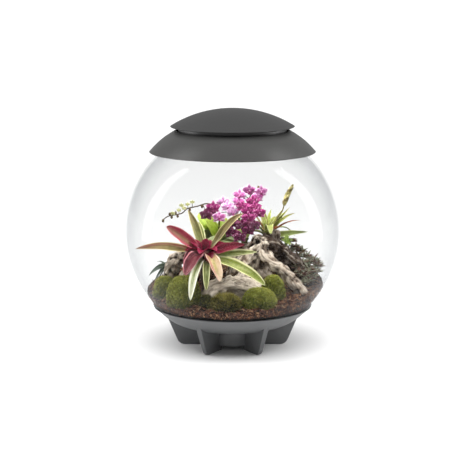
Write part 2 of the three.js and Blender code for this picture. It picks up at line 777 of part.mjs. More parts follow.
function bloom({ at, turn, tilt }) {
  const flower = geometryOf(join([sepals(), petals()]));
  flower.rotateX(tilt * degrees).rotateZ(turn * degrees);
  return flower.translate(...at);
}

function facing({ turn, tilt }) {
  const tilted = vector(0, -1, 0).applyAxisAngle(vector(1, 0, 0), tilt * degrees);
  return tilted.applyAxisAngle(up, turn * degrees);
}

// The flower stalks of one orchid, with a short stalk to each bloom and a bud on each side twig.
function orchidStems({ stems, blooms, buds }) {
  const curves = stems.map((points) => new THREE.CatmullRomCurve3(points.map((p) => vector(...p))));
  const nearest = (target) => {
    const spots = curves.flatMap((curve) => curve.getSpacedPoints(60).slice(14));
    return spots.reduce((a, b) => (a.distanceTo(target) < b.distanceTo(target) ? a : b));
  };
  const twig = (from, to) => stem([from.toArray(), to.toArray()], 1.2, 1, 3);
  const solids = stems.map((points) => stem(points, 1.8, 8, 4));
  for (const flower of blooms) {
    const end = vector(...flower.at).addScaledVector(facing(flower), -bloomBack);
    solids.push(twig(nearest(end), end));
  }
  for (const bud of buds) {
    const centre = vector(...bud);
    const spot = nearest(centre);
    spot.addScaledVector(centre.sub(spot).normalize(), budRadius * 0.6);
    solids.push(new THREE.OctahedronGeometry(budRadius).scale(1, 1, 1.3).translate(...spot));
  }
  return join(solids);
}

function orchidPlant({ foot: [x, y, z], leaves }) {
  const rootstock = rod([[x, y, z - rootstockDepth], [x, y, z], [x, y, z + 14]], (t) => 6 + 2.5 * t, 2, 8);
  const blades = leaves.map((blade) => ({ ...blade, channel: 0.12, form: "oval", thick: 1.8, steps: 4 }));
  return join([rootstock, ...blades.map((blade) => leaf(vector(x, y, z + 6), blade))]);
}

// ---- strap-leaved bromeliad with its flower spike ----
const strapFoot = [80, 46, 240];
const strapLeaves = [
  { heading: 4, reach: 36, tip: 66, lift: 34, width: 13 },
  { heading: -4, reach: 68, tip: 56, lift: 56, width: 12 },
  { heading: 10, reach: 78, tip: 38, lift: 44, width: 11 },
  { heading: 14, reach: 98, tip: 10, lift: 22, width: 13 },
  { heading: 175, reach: 24, tip: 54, lift: 30, width: 12 },
  { heading: 62, reach: 70, tip: 34, lift: 60, width: 10 },
  { heading: 105, reach: 64, tip: 46, lift: 50, width: 9 },
  { heading: 35, reach: 84, tip: -4, lift: 46, width: 10 },
  { heading: 140, reach: 54, tip: 10, lift: 44, width: 9 },
];

function strapPlant() {
  const [x, y, z] = strapFoot;
  const rootstock = rod([[x, y, z - rootstockDepth], [x, y, z], [x, y, z + 14]], () => 6.5, 2, 9);
  const blades = strapLeaves.map((blade) => ({ ...blade, form: "lance", steps: 4, across: 1 }));
  return join([rootstock, ...blades.map((blade) => leaf(vector(x, y, z + 4), blade))]);
}

const spikePoints = [[79, 39, 255], [98, 36, 290], [114, 39, 316], [123, 42, 332], [141, 45, 370]];

// A flat flower spike: a stalk that ends in a blade of bracts set in two ranks, so its edge is saw-toothed.
function flowerSpike() {
  const curve = new THREE.CatmullRomCurve3(spikePoints.map((p) => vector(...p)));
  const bractSteps = 8;
  const surface = (t, s) => {
    const along = 0.66 + 0.34 * t;
    const rightwards = curve.getTangentAt(along).cross(vector(0, 1, 0)).negate();
    const tooth = (Math.round(t * bractSteps) + (s > 0 ? 1 : 0)) % 2 ? 1 : 0.66;
    const half = 6.6 * tooth * (1 - 0.7 * t ** 3);
    return curve.getPointAt(along).addScaledVector(rightwards, s * half);
  };
  return join([stem(spikePoints, 2.2, 8, 6), sheet(surface, bractSteps, 2, 2.6)]);
}

// ---- dark rosettes on the right, and the small plants ----
const rosettes = [
  { at: [126, 68, 224], size: 23 },
  { at: [152, 64, 204], size: 22 },
  { at: [178, 54, 187], size: 22 },
  { at: [193, 20, 179], size: 22 },
  { at: [152, -20, 176], size: 20 },
  { at: [183, -16, 158], size: 20 },
];

// A thin star of pointed leaves: each spreads from the middle, its tip raised, its foot joined to the next.
// The underside is drawn down in the middle into a root of the given radius and length.
function leafStar([x, y, z], { count, size, rise, turn, rootRadius, rootLength }) {
  const n = 2 * count;
  const ring = (radiusAndHeight) =>
    Array.from({ length: n }, (_, i) => {
      const angle = turn + (2 * Math.PI * i) / n;
      const [r, height] = radiusAndHeight(i % 2 === 0);
      return vector(x + r * Math.cos(angle), y + r * Math.sin(angle), z + height);
    });
  const above = ring((isTip) => (isTip ? [size, rise] : [size * 0.38, rise * 0.1]));
  const below = above.map((point) => point.clone().sub(vector(0, 0, 1.6)));
  const neck = ring(() => [rootRadius, -1.6]);
  const root = ring(() => [rootRadius, -rootLength]);
  const points = [...above, ...below, ...neck, ...root, vector(x, y, z), vector(x, y, z - rootLength)];
  const index = [];
  for (let j = 0; j < n; j++) {
    const k = (j + 1) % n;
    index.push(4 * n, j, k, 4 * n + 1, 3 * n + k, 3 * n + j);
    for (const row of [0, n, 2 * n]) {
      index.push(row + j, row + n + j, row + n + k, row + j, row + n + k, row + k);
    }
  }
  const geometry = new THREE.BufferGeometry().setFromPoints(points);
  geometry.setIndex(index);
  return geometry;
}

function rosette({ at: [x, y, z], size }, turn) {
  const rootLength = z - soilHeight(x, y) + rosetteRoot;
  const outer = { count: 6, size, rise: size * 0.34, turn, rootRadius: 2.6, rootLength };
  const heart = { count: 4, size: size * 0.6, rise: size * 0.5, turn: turn + 1 };
  const inner = leafStar([x, y, z + 3.5], { ...heart, rootRadius: 1.6, rootLength: 5 });
  return join([leafStar([x, y, z], outer), inner]);
}

const sideLeaves = {
  // pointed dark leaves at the left wall
  left_leaves: {
    foot: [-176, 6, 128],
    leaves: [
      { heading: -125, reach: 34, tip: 44, lift: 40, width: 10 },
      { heading: 190, reach: 20, tip: 56, lift: 34, width: 9 },
      { heading: 100, reach: 36, tip: 46, lift: 40, width: 10 },
      { heading: 30, reach: 22, tip: 58, lift: 36, width: 9 },
    ],
    form: "lance",
  },
  // small round leaves above the root on the right
  right_creeper: {
    foot: [128, 16, 222],
    leaves: [
      { heading: 15, reach: 18, tip: 22, lift: 16, width: 12 },
      { heading: 80, reach: 10, tip: 30, lift: 16, width: 12 },
      { heading: -60, reach: 16, tip: 10, lift: 14, width: 11 },
      { heading: 160, reach: 14, tip: 18, lift: 14, width: 11 },
    ],
    form: "oval",
  },
};

function smallPlant({ foot: [x, y, z], leaves, form }) {
  const root = rod([[x, y, z - creeperRoot], [x, y, z + 5]], () => 3.4, 1, 6);
  const blades = leaves.map((blade) => ({ ...blade, form, steps: 3, across: 1 }));
  return join([root, ...blades.map((blade) => leaf(vector(x, y, z), blade))]);
}

// ---- assembly ----
const terrarium = new THREE.Group();

function place(name, shape, material) {
  const geometry = shape.isBufferGeometry ? shape : geometryOf(shape);
  const mesh = new THREE.Mesh(geometry, material);
  mesh.name = name;
  terrarium.add(mesh);
}

// A plain hole for a root, a little wider than the root: it goes from just below the root's end up to top.
function hole([x, y], radius, rootEnd, top) {
  const bottom = rootEnd - gap;
  const drill = new THREE.CylinderGeometry(radius, radius, top - bottom, 6).rotateX(Math.PI / 2);
  return solidOf(drill.translate(x, y, (top + bottom) / 2));
}

const inletHole = solidOf(inletCylinder(inletRadius + gap, 140, 200));
const inBall = solidOf(turned([...within(ballWall + 2 * gap).reverse(), [0, mouthZ]]));

// Roots stand in plain holes in what they grow from.
const aboveSoil = 220;
const aboveWood = 300;
const woodRoots = [
  { at: orchids.left.foot, radius: 9.8, depth: rootstockDepth },
  { at: orchids.right.foot, radius: 9.8, depth: rootstockDepth },
  { at: strapFoot, radius: 7.8, depth: rootstockDepth },
  { at: sideLeaves.right_creeper.foot, radius: 4.2, depth: creeperRoot },
];
const leftFoot = sideLeaves.left_leaves.foot;
const soilHoles = [
  hole(trunkFoot, 13, soilHeight(...trunkFoot) - bromeliadRoot, aboveSoil),
  hole(leftFoot, 4.2, leftFoot[2] - creeperRoot, aboveSoil),
  ...rosettes.map(({ at }) => hole(at, 3.6, soilHeight(at[0], at[1]) - rosetteRoot, aboveSoil)),
];
const woodHoles = [
  ...woodRoots.map(({ at, radius, depth }) => hole(at, radius, at[2] - depth, aboveWood)),
  ...rosettes.map(({ at }) => hole(at, 3.6, matTopZ, at[2] + 2)),
];

place("stand", stand(), materials.standPlastic);
place("glass_ball", glassBall(), materials.acrylic);
place("collar", solidOf(collar()).subtract(inletHole), materials.greyPlastic);
place("lid", lid(), materials.greyPlastic);
place("lamp_tray", lampTray(), materials.darkPlastic);
place("led_board", ledBoard(), materials.circuit);
place("lamp_diffuser", lampDiffuser(), materials.diffuser);
place("power_inlet", powerInlet(), materials.darkPlastic);
place("felt_mat", feltMat(), materials.felt);

const soilBed = solidOf(soil());
const soilCutter = soilBed.translate([0, 0, gap]);
place("soil", soilHoles.reduce((bed, drill) => bed.subtract(drill), soilBed), materials.soil);
const widened = (one) => ({ ...one, from: one.from + 1, to: one.to + 1 });
const looseRoots = (limbs) => join(limbs.map((one) => limb(widened(one))));
const mossCutter = Object.values(woodLimbs).map(looseRoots).reduce((a, b) => a.add(b), soilCutter);
for (const [name, limbs] of Object.entries(woodLimbs)) {
  const wood = join(limbs.map(limb)).subtract(soilCutter).intersect(inBall);
  const drilled = name === "main" ? woodHoles.reduce((body, drill) => body.subtract(drill), wood) : wood;
  place("driftwood_" + name, mainBody(drilled), materials.wood);
}
for (const [name, cushion] of Object.entries(mossCushions)) {
  const moss = solidOf(mossCushion(cushion)).subtract(mossCutter).intersect(inBall);
  place("moss_" + name, mainBody(moss), materials.moss);
}

place("bromeliad", bromeliad(), materials.bromeliad);
for (const [side, orchid] of Object.entries(orchids)) {
  place("orchid_" + side, orchidPlant(orchid), materials.orchidLeaf);
  place("orchid_" + side + "_stems", orchidStems(orchid), materials.orchidStem);
  orchid.blooms.forEach((flower, i) => place(`bloom_${side}_${i + 1}`, bloom(flower), materials.petal));
}
place("strap_plant", strapPlant(), materials.strapLeaf);
place("flower_spike", flowerSpike(), materials.spike);
rosettes.forEach((plant, i) => place(`rosette_${i + 1}`, rosette(plant, 0.4 * i), materials.rosette));
for (const [name, plant] of Object.entries(sideLeaves)) place(name, smallPlant(plant), materials.leafGreen);

export default terrarium;
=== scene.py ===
# A planted globe terrarium in a bright studio: the shell, the soil and wood, the moss and the plants.
# Places and sizes in the tables are in millimetres and become metres when a piece is built.
import random
from math import acos, asin, cos, degrees, hypot, pi, radians, sin, sqrt

import bmesh
import bpy
import numpy as np
from mathutils import Matrix, Vector, noise


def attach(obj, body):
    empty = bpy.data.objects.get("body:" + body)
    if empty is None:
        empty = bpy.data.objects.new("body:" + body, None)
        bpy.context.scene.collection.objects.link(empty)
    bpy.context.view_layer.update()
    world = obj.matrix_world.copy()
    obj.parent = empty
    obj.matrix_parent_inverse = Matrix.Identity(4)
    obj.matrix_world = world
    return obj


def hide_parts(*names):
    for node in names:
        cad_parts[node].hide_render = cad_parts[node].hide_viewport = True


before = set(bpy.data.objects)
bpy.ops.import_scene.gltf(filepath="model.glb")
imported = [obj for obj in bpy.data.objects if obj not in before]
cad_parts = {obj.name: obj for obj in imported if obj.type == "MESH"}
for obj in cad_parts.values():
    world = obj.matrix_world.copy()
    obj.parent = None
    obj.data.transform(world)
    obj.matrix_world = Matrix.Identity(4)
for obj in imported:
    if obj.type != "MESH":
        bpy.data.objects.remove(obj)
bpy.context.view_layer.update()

mm = 0.001
fullTurn = 2 * pi
random.seed(7)
rng = np.random.default_rng(7)
print("frame loaded:", len(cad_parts), "nodes")


def tone(*parts):  # a screen colour of 0 to 255 as a linear one
    shares = [part / 255 for part in parts]
    return (*[share / 12.92 if share <= 0.04045 else ((share + 0.055) / 1.055) ** 2.4 for share in shares], 1.0)


def table(columns, lines):  # a dictionary for each line of values, whose last ones may be left out
    return [dict(zip(columns.split(), line)) for line in lines]


def smooth(low, high, value):
    share = np.clip((value - low) / (high - low), 0, 1)
    return share * share * (3 - 2 * share)


def noises(points, size, shift=0):  # one smooth random value for each point
    return np.array([noise.noise(Vector(spot)) for spot in np.asarray(points) / size + shift])


def wobble(points, size, seed):
    return noises(points, size, (seed, -seed, 0))


def unit(way):
    return way / np.linalg.norm(way)


def palette(*colours):
    return [tone(*colour) for colour in colours]


def paintMix(a, b, share):
    share = np.asarray(share)[..., None]
    return np.asarray(a) * (1 - share) + np.asarray(b) * share


class Shape:  # points, faces and paint, gathered until a piece is made of them
    def __init__(self):
        self.points, self.faces, self.paint, self.count = [], [], {}, 0

    def add(self, points, faces, **paint):
        points = np.asarray(points, float).reshape(-1, 3)
        self.points.append(points)
        self.faces += [[corner + self.count for corner in face] for face in faces]
        for name, value in paint.items():
            value = np.asarray(value, float)
            self.paint.setdefault(name, []).append(np.broadcast_to(value, (len(points), value.shape[-1])))
        self.count += len(points)

    def mesh(self, name):
        made = bpy.data.meshes.new(name)
        made.from_pydata((np.concatenate(self.points) * mm).tolist(), [], self.faces)
        for paintName, values in self.paint.items():
            writePaint(made, paintName, np.concatenate(values))
        return made


def writePaint(mesh, name, values):
    kind, key = ("FLOAT_COLOR", "color") if values.shape[1] == 4 else ("FLOAT_VECTOR", "vector")
    mesh.attributes.new(name, kind, "POINT").data.foreach_set(key, values.astype(np.float32).ravel())


def readPoints(mesh, key):
    values = np.zeros(len(mesh.vertices) * 3)
    mesh.vertices.foreach_get(key, values)
    return values.reshape(-1, 3)


def newObject(name, data):
    made = bpy.data.objects.new(name, data)
    bpy.context.scene.collection.objects.link(made)
    return made


def makePiece(name, form, finish, node, crease=38):
    mesh = form.mesh(name) if isinstance(form, Shape) else form
    mesh.shade_smooth()
    mesh.set_sharp_from_angle(angle=radians(crease))
    mesh.materials.clear()
    mesh.materials.append(finish)
    piece = newObject(name, mesh)
    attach(piece, "root")
    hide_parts(node)


def applied(mesh, *modifiers):  # the mesh after modifiers, each given as (type, settings)
    holder = newObject("holder", mesh)
    for kind, settings in modifiers:
        modifier = holder.modifiers.new(kind.lower(), kind)
        for key, value in settings.items():
            setattr(modifier, key, value)
    bpy.context.view_layer.update()
    result = bpy.data.meshes.new_from_object(holder.evaluated_get(bpy.context.evaluated_depsgraph_get()))
    bpy.data.objects.remove(holder)
    return result


# Rings of points joined into a closed skin. Rings of one point are poles.
def ringFaces(sizes, loop=False):
    starts = np.concatenate([[0], np.cumsum(sizes)]).tolist()
    faces = []
    for low in range(len(sizes) if loop else len(sizes) - 1):
        high = (low + 1) % len(sizes)
        for j in range(max(sizes[low], sizes[high])):
            corners = [starts[low] + j % sizes[low], starts[low] + (j + 1) % sizes[low],
                       starts[high] + (j + 1) % sizes[high], starts[high] + j % sizes[high]]
            face = [corner for i, corner in enumerate(corners) if corner not in corners[:i]]
            if len(face) > 2:
                faces.append(face)
    return faces


def turned(profile, segments=192, loop=False):  # a profile of (radius, height) turned about the upright axis
    turns = np.linspace(0, fullTurn, segments, endpoint=False)
    points, sizes = [], []
    for radius, height in profile:
        ring = [(0, 0, height)] if radius < 1e-6 else [
            (radius * cos(turn), radius * sin(turn), height) for turn in turns]
        points += ring
        sizes.append(len(ring))
    shape = Shape()
    shape.add(points, ringFaces(sizes, loop))
    return shape


def rounded(profile, radius, steps=4):  # sharp corners eased by short curves
    spots = [np.array(spot, float) for spot in profile]
    made = [spots[0]]
    for before, corner, after in zip(spots, spots[1:], spots[2:]):
        lengthIn, lengthOut = np.linalg.norm(corner - before), np.linalg.norm(after - corner)
        wayIn, wayOut = (corner - before) / lengthIn, (after - corner) / lengthOut
        if wayIn @ wayOut > cos(radians(25)):
            made.append(corner)
            continue
        reach = min(radius, 0.45 * lengthIn, 0.45 * lengthOut)
        for t in np.linspace(0, 1, steps + 1):
            made.append(corner - wayIn * reach * (1 - t) ** 2 + wayOut * reach * t ** 2)
    return made + [spots[-1]]


def offset(profile, distance):  # each point moved to its left
    made = []
    for i, (radius, height) in enumerate(profile):
        r0, z0 = profile[max(i - 1, 0)]
        r1, z1 = profile[min(i + 1, len(profile) - 1)]
        length = hypot(r1 - r0, z1 - z0)
        made.append((0 if radius < 1e-6 else radius - (z1 - z0) / length * distance,
                     height + (r1 - r0) / length * distance))
    return made


def lengthsAlong(curve):
    return np.concatenate([[0], np.cumsum(np.linalg.norm(np.diff(curve, axis=0), axis=1))])


def catmull(points, steps):  # points spaced evenly along a smooth curve
    spots = np.array(points, float)
    spots = np.vstack([2 * spots[0] - spots[1], spots, 2 * spots[-1] - spots[-2]])
    fine = []
    for a, b, c, d in zip(spots, spots[1:], spots[2:], spots[3:]):
        for t in np.linspace(0, 1, 24, endpoint=False):
            fine.append(0.5 * (2 * b + (c - a) * t + (2 * a - 5 * b + 4 * c - d) * t * t
                               + (3 * b - a - 3 * c + d) * t ** 3))
    fine = np.array(fine + [spots[-2]])
    run = lengthsAlong(fine)
    wanted = np.linspace(0, run[-1], steps + 1)
    return np.stack([np.interp(wanted, run, fine[:, axis]) for axis in range(3)], axis=1)


def frames(curve):  # tangents and two steady directions across them
    tangents = np.gradient(curve, axis=0)
    tangents /= np.linalg.norm(tangents, axis=1)[:, None]
    first = np.cross(tangents[0], [0.3, 0.2, 1.0] if abs(tangents[0][2]) < 0.9 else [1.0, 0.2, 0.1])
    across = [unit(first)]
    for tangent in tangents[1:]:
        across.append(unit(across[-1] - tangent * (across[-1] @ tangent)))
    across = np.array(across)
    return tangents, across, np.cross(tangents, across)


def tube(shape, curve, radius, sides=10, **paint):  # closed at both ends, its radius a number or f(along, angle)
    size = radius if callable(radius) else lambda along, angle: radius
    tangents, across, over = frames(curve)
    angles = np.linspace(0, fullTurn, sides, endpoint=False)
    points = [curve[0] - tangents[0] * 0.3 * size(0, 0)]
    for i, centre in enumerate(curve):
        for angle in angles:
            way = cos(angle) * across[i] + sin(angle) * over[i]
            points.append(centre + size(i / (len(curve) - 1), angle) * way)
    points.append(curve[-1] + tangents[-1] * 0.3 * size(1, 0))
    shape.add(points, ringFaces([1] + [sides] * len(curve) + [1]), **paint)


# A closed thin skin over a grid of points, its faces thickness apart at the middle and closer at the edges.
# Its paint is the same on both faces, or a pair of upper and under.
def thicken(shape, grid, thickness, edge=0.45, **paint):
    rows, columns = grid.shape[:2]
    normals = np.cross(np.gradient(grid, axis=0), np.gradient(grid, axis=1))
    normals /= np.maximum(np.linalg.norm(normals, axis=2, keepdims=True), 1e-9)
    across = np.abs(np.linspace(-1, 1, columns))[None, :, None]
    half = thickness / 2 * (1 - (1 - edge) * across)
    points = np.concatenate([(grid + normals * half).reshape(-1, 3), (grid - normals * half).reshape(-1, 3)])
    count = rows * columns
    faces = []
    for i in range(rows - 1):
        for j in range(columns - 1):
            a = i * columns + j
            faces.append([a, a + columns, a + columns + 1, a + 1])
            faces.append([count + a, count + a + 1, count + a + columns + 1, count + a + columns])
    border = [i * columns for i in range(rows - 1)] + [(rows - 1) * columns + j for j in range(columns - 1)]
    border += [i * columns + columns - 1 for i in range(rows - 1, 0, -1)] + list(range(columns - 1, 0, -1))
    for a, b in zip(border, border[1:] + border[:1]):
        faces.append([a, count + a, count + b, b])
    sides = {}
    for name, value in paint.items():
        pair = map(np.asarray, value if isinstance(value, tuple) else (value, value))
        sides[name] = np.concatenate([np.broadcast_to(part, (rows, columns, part.shape[-1])).reshape(count, -1)
                                      for part in pair])
    shape.add(points, faces, **sides)


def ball(shape, centre, size, around, high, **paint):  # a small egg
    points, sizes = [], []
    for i in range(high + 1):
        fall = pi * i / high
        spots = 1 if i in (0, high) else around
        for j in range(spots):
            turn = fullTurn * j / around
            points.append((sin(fall) * cos(turn), sin(fall) * sin(turn), -cos(fall)))
        sizes.append(spots)
    shape.add(np.array(points) * size + np.array(centre, float), ringFaces(sizes), **paint)


class Link:  # a shader socket that adds Math nodes when it is used in a sum, product or power
    def __init__(self, finish, socket):
        self.finish, self.socket = finish, socket

    def math(self, operation, *values):
        return self.finish.node("ShaderNodeMath", {"operation": operation}, values)

    def __add__(self, other): return self.math("ADD", self, other)
    def __sub__(self, other): return self.math("SUBTRACT", self, other)
    def __rsub__(self, other): return self.math("SUBTRACT", other, self)
    def __mul__(self, other): return self.math("MULTIPLY", self, other)
    def __pow__(self, other): return self.math("POWER", self, other)
    __radd__, __rmul__ = __add__, __mul__


class Finish:  # a node material
    def __init__(self, name):
        self.material = bpy.data.materials.new(name)
        self.material.use_nodes = True
        self.tree = self.material.node_tree
        self.tree.nodes.clear()

    def node(self, kind, settings=None, sockets=(), output=0):
        made = self.tree.nodes.new(kind)
        for key, value in (settings or {}).items():
            setattr(made, key, value)
        for key, value in sockets.items() if isinstance(sockets, dict) else enumerate(sockets):
            if isinstance(value, Link):
                self.tree.links.new(value.socket, made.inputs[key])
            else:
                made.inputs[key].default_value = value
        return Link(self, made.outputs[output]) if made.outputs else None

    def place(self): return self.node("ShaderNodeTexCoord", output="Object")

    def paint(self, name, output="Color"):
        return self.node("ShaderNodeAttribute", {"attribute_name": name}, output=output)

    def parts(self, name):  # the three numbers of a painted vector
        spread = self.node("ShaderNodeSeparateXYZ", {}, [self.paint(name, "Vector")])
        return [Link(self, part) for part in spread.socket.node.outputs]

    def grain(self, where, scale, detail=4, roughness=0.55):
        return self.node("ShaderNodeTexNoise", {}, {
            "Vector": where, "Scale": scale, "Detail": detail, "Roughness": roughness})

    def vector(self, *parts):
        return self.node("ShaderNodeCombineXYZ", {}, parts)

    def stretched(self, where, factors):
        return self.node("ShaderNodeVectorMath", {"operation": "MULTIPLY"}, [where, factors])

    def step(self, value, low, high):  # 0 below low, 1 above high
        return self.node("ShaderNodeMapRange", {"interpolation_type": "SMOOTHSTEP"}, [value, low, high, 0, 1])

    def mix(self, share, a, b, blend="MIX"):
        return self.node("ShaderNodeMix", {"data_type": "RGBA", "blend_type": blend}, {0: share, 6: a, 7: b}, 2)

    # Another colour over the one so far, more of it as the value goes from low to high
    def layer(self, colour, value, low, high, share, over, blend="MIX"):
        return self.mix(self.step(value, low, high) * share, colour, over, blend)

    def bump(self, height, distance, strength=1.0):
        return self.node("ShaderNodeBump", {}, {"Height": height, "Distance": distance, "Strength": strength})

    def close(self, shader):
        self.node("ShaderNodeOutputMaterial", {}, [shader])
        return self.material

    def surface(self, colour, roughness, normal=None, **constants):
        sockets = {"Base Color": colour, "Roughness": roughness, **({"Normal": normal} if normal else {})}
        for key, value in constants.items():
            sockets[constantSockets[key]] = value
        return self.close(self.node("ShaderNodeBsdfPrincipled", {}, sockets))


constantSockets = {"shine": "Specular IOR Level", "coat": "Coat Weight", "soft": "Subsurface Weight",
                   "softRadius": "Subsurface Radius", "softScale": "Subsurface Scale"}


def plastic(name, colour, roughness, shine=0.5):
    made = Finish(name)
    where = made.place()
    cloud, fine = made.grain(where, 14, 3), made.grain(where, 1 / 0.0006, 2)
    dark, light = [[part * (1 + mottle) for part in colour[:3]] + [1] for mottle in (-0.06, 0.06)]
    colour, rough = made.mix(cloud, dark, light), roughness + (cloud - 0.5) * 0.12
    return made.surface(colour, rough, made.bump(fine, 0.00006, 0.5), shine=shine)


# The clear wall: see-through face on, greyer and more mirror-like where it is seen edge on.
def clearWall():
    made = Finish("clearAcrylic")
    facing = made.node("ShaderNodeLayerWeight", {}, {"Blend": 0.5}, "Facing")
    clear = made.node("ShaderNodeBsdfTransparent", {}, {"Color": (0.927, 0.929, 0.929, 1)})
    edge = made.node("ShaderNodeBsdfTransparent", {}, {"Color": (0.857, 0.862, 0.865, 1)})
    body = made.node("ShaderNodeMixShader", {}, [made.step(facing, 0.32, 0.8), clear, edge])
    gloss = made.node("ShaderNodeBsdfAnisotropic", {}, {"Color": (1, 1, 1, 1), "Roughness": 0.03})
    mirrored = facing ** 4.0 * 0.19 + facing ** 2.0 * 0.016 + 0.003
    return made.close(made.node("ShaderNodeMixShader", {}, [mirrored, body, gloss]))


def feltFinish():
    made = Finish("rootFelt")
    fuzz = made.grain(made.place(), 900, 5, 0.7)
    return made.surface(made.mix(fuzz, *palette((20, 17, 14), (52, 44, 36))), 0.95, made.bump(fuzz, 0.0006))


def soilFinish():
    made = Finish("barkSoil")
    where = made.place()
    coarse, fine = made.grain(where, 160, 5, 0.7), made.grain(where, 900, 4)
    colour = made.layer(made.paint("tone"), coarse, 0.62, 0.4, 0.55, tone(110, 84, 70), "MULTIPLY")
    colour = made.layer(made.paint("tone"), fine, 0.35, 0.8, 0.4, colour)
    return made.surface(colour, 0.9, made.bump(fine + coarse, 0.0008, 0.8), shine=0.25)


def woodFinish():
    made = Finish("weatheredWood")
    along = made.stretched(made.paint("grain", "Vector"), (1, 0.06, 1))
    stripes, cracks = made.grain(along, 900, 6, 0.65), made.grain(along, 330, 3, 0.5)
    pores = made.grain(made.place(), 1500, 3)
    # painted shade: the cracks in the grain are darkened
    dark = made.step(cracks, 0.42, 0.34)
    colour = made.mix(made.step(stripes, 0.35, 0.68), made.paint("tone"), made.paint("rim"))
    colour = made.mix(dark * 0.75, colour, tone(46, 37, 31))
    height = stripes * 0.5 + pores * 0.2 - dark * 0.7
    return made.surface(colour, 0.86, made.bump(height, 0.0009, 0.9), shine=0.25)


def mossFinish():
    made = Finish("mossFibres")
    where = made.place()
    patches, specks = made.grain(where, 60, 3), made.grain(where, 240, 3, 0.7)
    colour = made.layer(made.paint("tone"), patches, 0.48, 0.7, 0.25, tone(160, 150, 66))
    colour = made.layer(colour, specks, 0.5, 0.36, 0.6, tone(30, 36, 8))
    colour = made.layer(colour, specks, 0.54, 0.72, 0.5, tone(206, 208, 112))
    fine = made.grain(where, 700, 3)
    return made.surface(colour, 0.9, made.bump(fine, 0.0006), shine=0.2)


# Leaf skin: fine lengthwise veins over the painted colour, and a margin where the blade's edge is.
def leafFinish(name, roughness, veinDepth=0.00012, coat=0.0):
    made = Finish(name)
    across, along, margin = made.parts("lie")
    reach = across.math("ABSOLUTE", across)
    lengthwise = made.vector(across * 9, along * 1.2, margin)
    veins, patches = made.grain(lengthwise, 3.2, 3, 0.6), made.grain(made.place(), 130, 3)
    ragged = reach + (made.grain(lengthwise, 2.0, 2) - 0.5) * 0.16
    colour = made.layer(made.paint("tone"), veins, 0.45, 0.75, 0.35, made.paint("rim"))
    colour = made.layer(colour, veins, 0.5, 0.3, 0.45, tone(120, 104, 70), "MULTIPLY")
    colour = made.layer(colour, patches, 0.45, 0.75, 0.4, tone(110, 100, 60), "MULTIPLY")
    colour = made.mix(made.step(ragged - margin, -0.06, 0.06), colour, made.paint("rim"))
    return made.surface(colour, roughness + (patches - 0.5) * 0.15, made.bump(veins, veinDepth, 0.8), coat=coat,
                        soft=0.06, softRadius=(0.6, 0.8, 0.3), softScale=0.001)


def petalFinish():
    made = Finish("orchidPetal")
    across, along, seed = made.parts("lie")
    veins = made.grain(made.vector(across * 7, along * 1.4, seed), 2.4, 3, 0.6)
    blotches = made.grain(made.place(), 260, 2)
    colour = made.layer(made.paint("tone"), veins, 0.4, 0.72, 0.5, made.paint("rim"))
    colour = made.layer(colour, blotches, 0.42, 0.62, 0.45, tone(150, 90, 140), "MULTIPLY")
    colour = made.layer(colour, blotches, 0.4, 0.3, 0.4, tone(244, 222, 240))
    return made.surface(colour, 0.6 + (veins - 0.5) * 0.1, made.bump(veins, 0.0003, 0.8),
                        soft=0.1, softRadius=(1.0, 0.4, 0.8), softScale=0.001)


def stemFinish():
    made = Finish("flowerStalk")
    spots = made.grain(made.stretched(made.place(), (1, 1, 0.4)), 600, 3)
    colour = made.layer(made.paint("tone"), spots, 0.45, 0.75, 0.7, made.paint("rim"))
    return made.surface(colour, 0.5, made.bump(spots, 0.0002))


# The shell: ball, stand, collar, lid and the lamp parts
shell = {
    "radius": 250, "centreZ": 267, "wall": 5, "mouthRadius": 150, "rimZ": 95, "flatRadius": 156.4,
    "floorZ": 48, "flatPower": 5.2, "standWall": 3.5, "gap": 0.4, "rimStep": 4.5,
}


def onBall(angle):
    return (shell["radius"] * sin(angle), shell["centreZ"] + shell["radius"] * cos(angle))


def angleAt(z):
    return acos((z - shell["centreZ"]) / shell["radius"])


def onFloor(radius):  # the ball's underside, which flattens towards the middle
    climb = (radius / shell["flatRadius"]) ** shell["flatPower"]
    return (radius, shell["floorZ"] + (onBall(flatAngle)[1] - shell["floorZ"]) * climb)


mouthAngle = asin(shell["mouthRadius"] / shell["radius"])
flatAngle = pi - asin(shell["flatRadius"] / shell["radius"])
upperProfile = [onBall(angle) for angle in np.linspace(mouthAngle, angleAt(shell["rimZ"] + shell["rimStep"]), 72)]
lowerProfile = [onBall(angle) for angle in np.linspace(angleAt(shell["rimZ"]), flatAngle, 10)]
lowerProfile += [onFloor(shell["flatRadius"] * share) for share in np.linspace(0.97, 0, 22)]
rimIndex = len(upperProfile)


def nested(depth):  # the whole profile, moved inwards
    return offset(upperProfile + lowerProfile, -depth)


def within(depth):  # the same for the ball, whose lower part sits inside the stand's wall
    inset = shell["standWall"] + shell["gap"]
    return nested(depth)[:rimIndex] + nested(inset + depth)[rimIndex:]


def radiusAt(profile, z):
    radii, heights = np.array(profile)[::-1].T
    return float(np.interp(z, heights, radii))


def ballPiece(finish):
    outer, inner = within(0)[::-1], within(shell["wall"])
    lip = [(outer[-1][0] - 1.2, outer[-1][1] + 0.7), (inner[0][0] + 1.0, inner[0][1] + 0.5)]
    makePiece("clearBall", turned(outer + lip + inner), finish, "glass_ball", 50)


foot = {
    "count": 6, "thickness": 13, "taper": 0.75, "slope": 0.42, "topRadius": 155, "innerRadius": 57,
    "cornerRadius": 20, "cornerHeight": 14.4, "hubRadius": 68, "hubBottomZ": 10, "edge": 0.9,
}


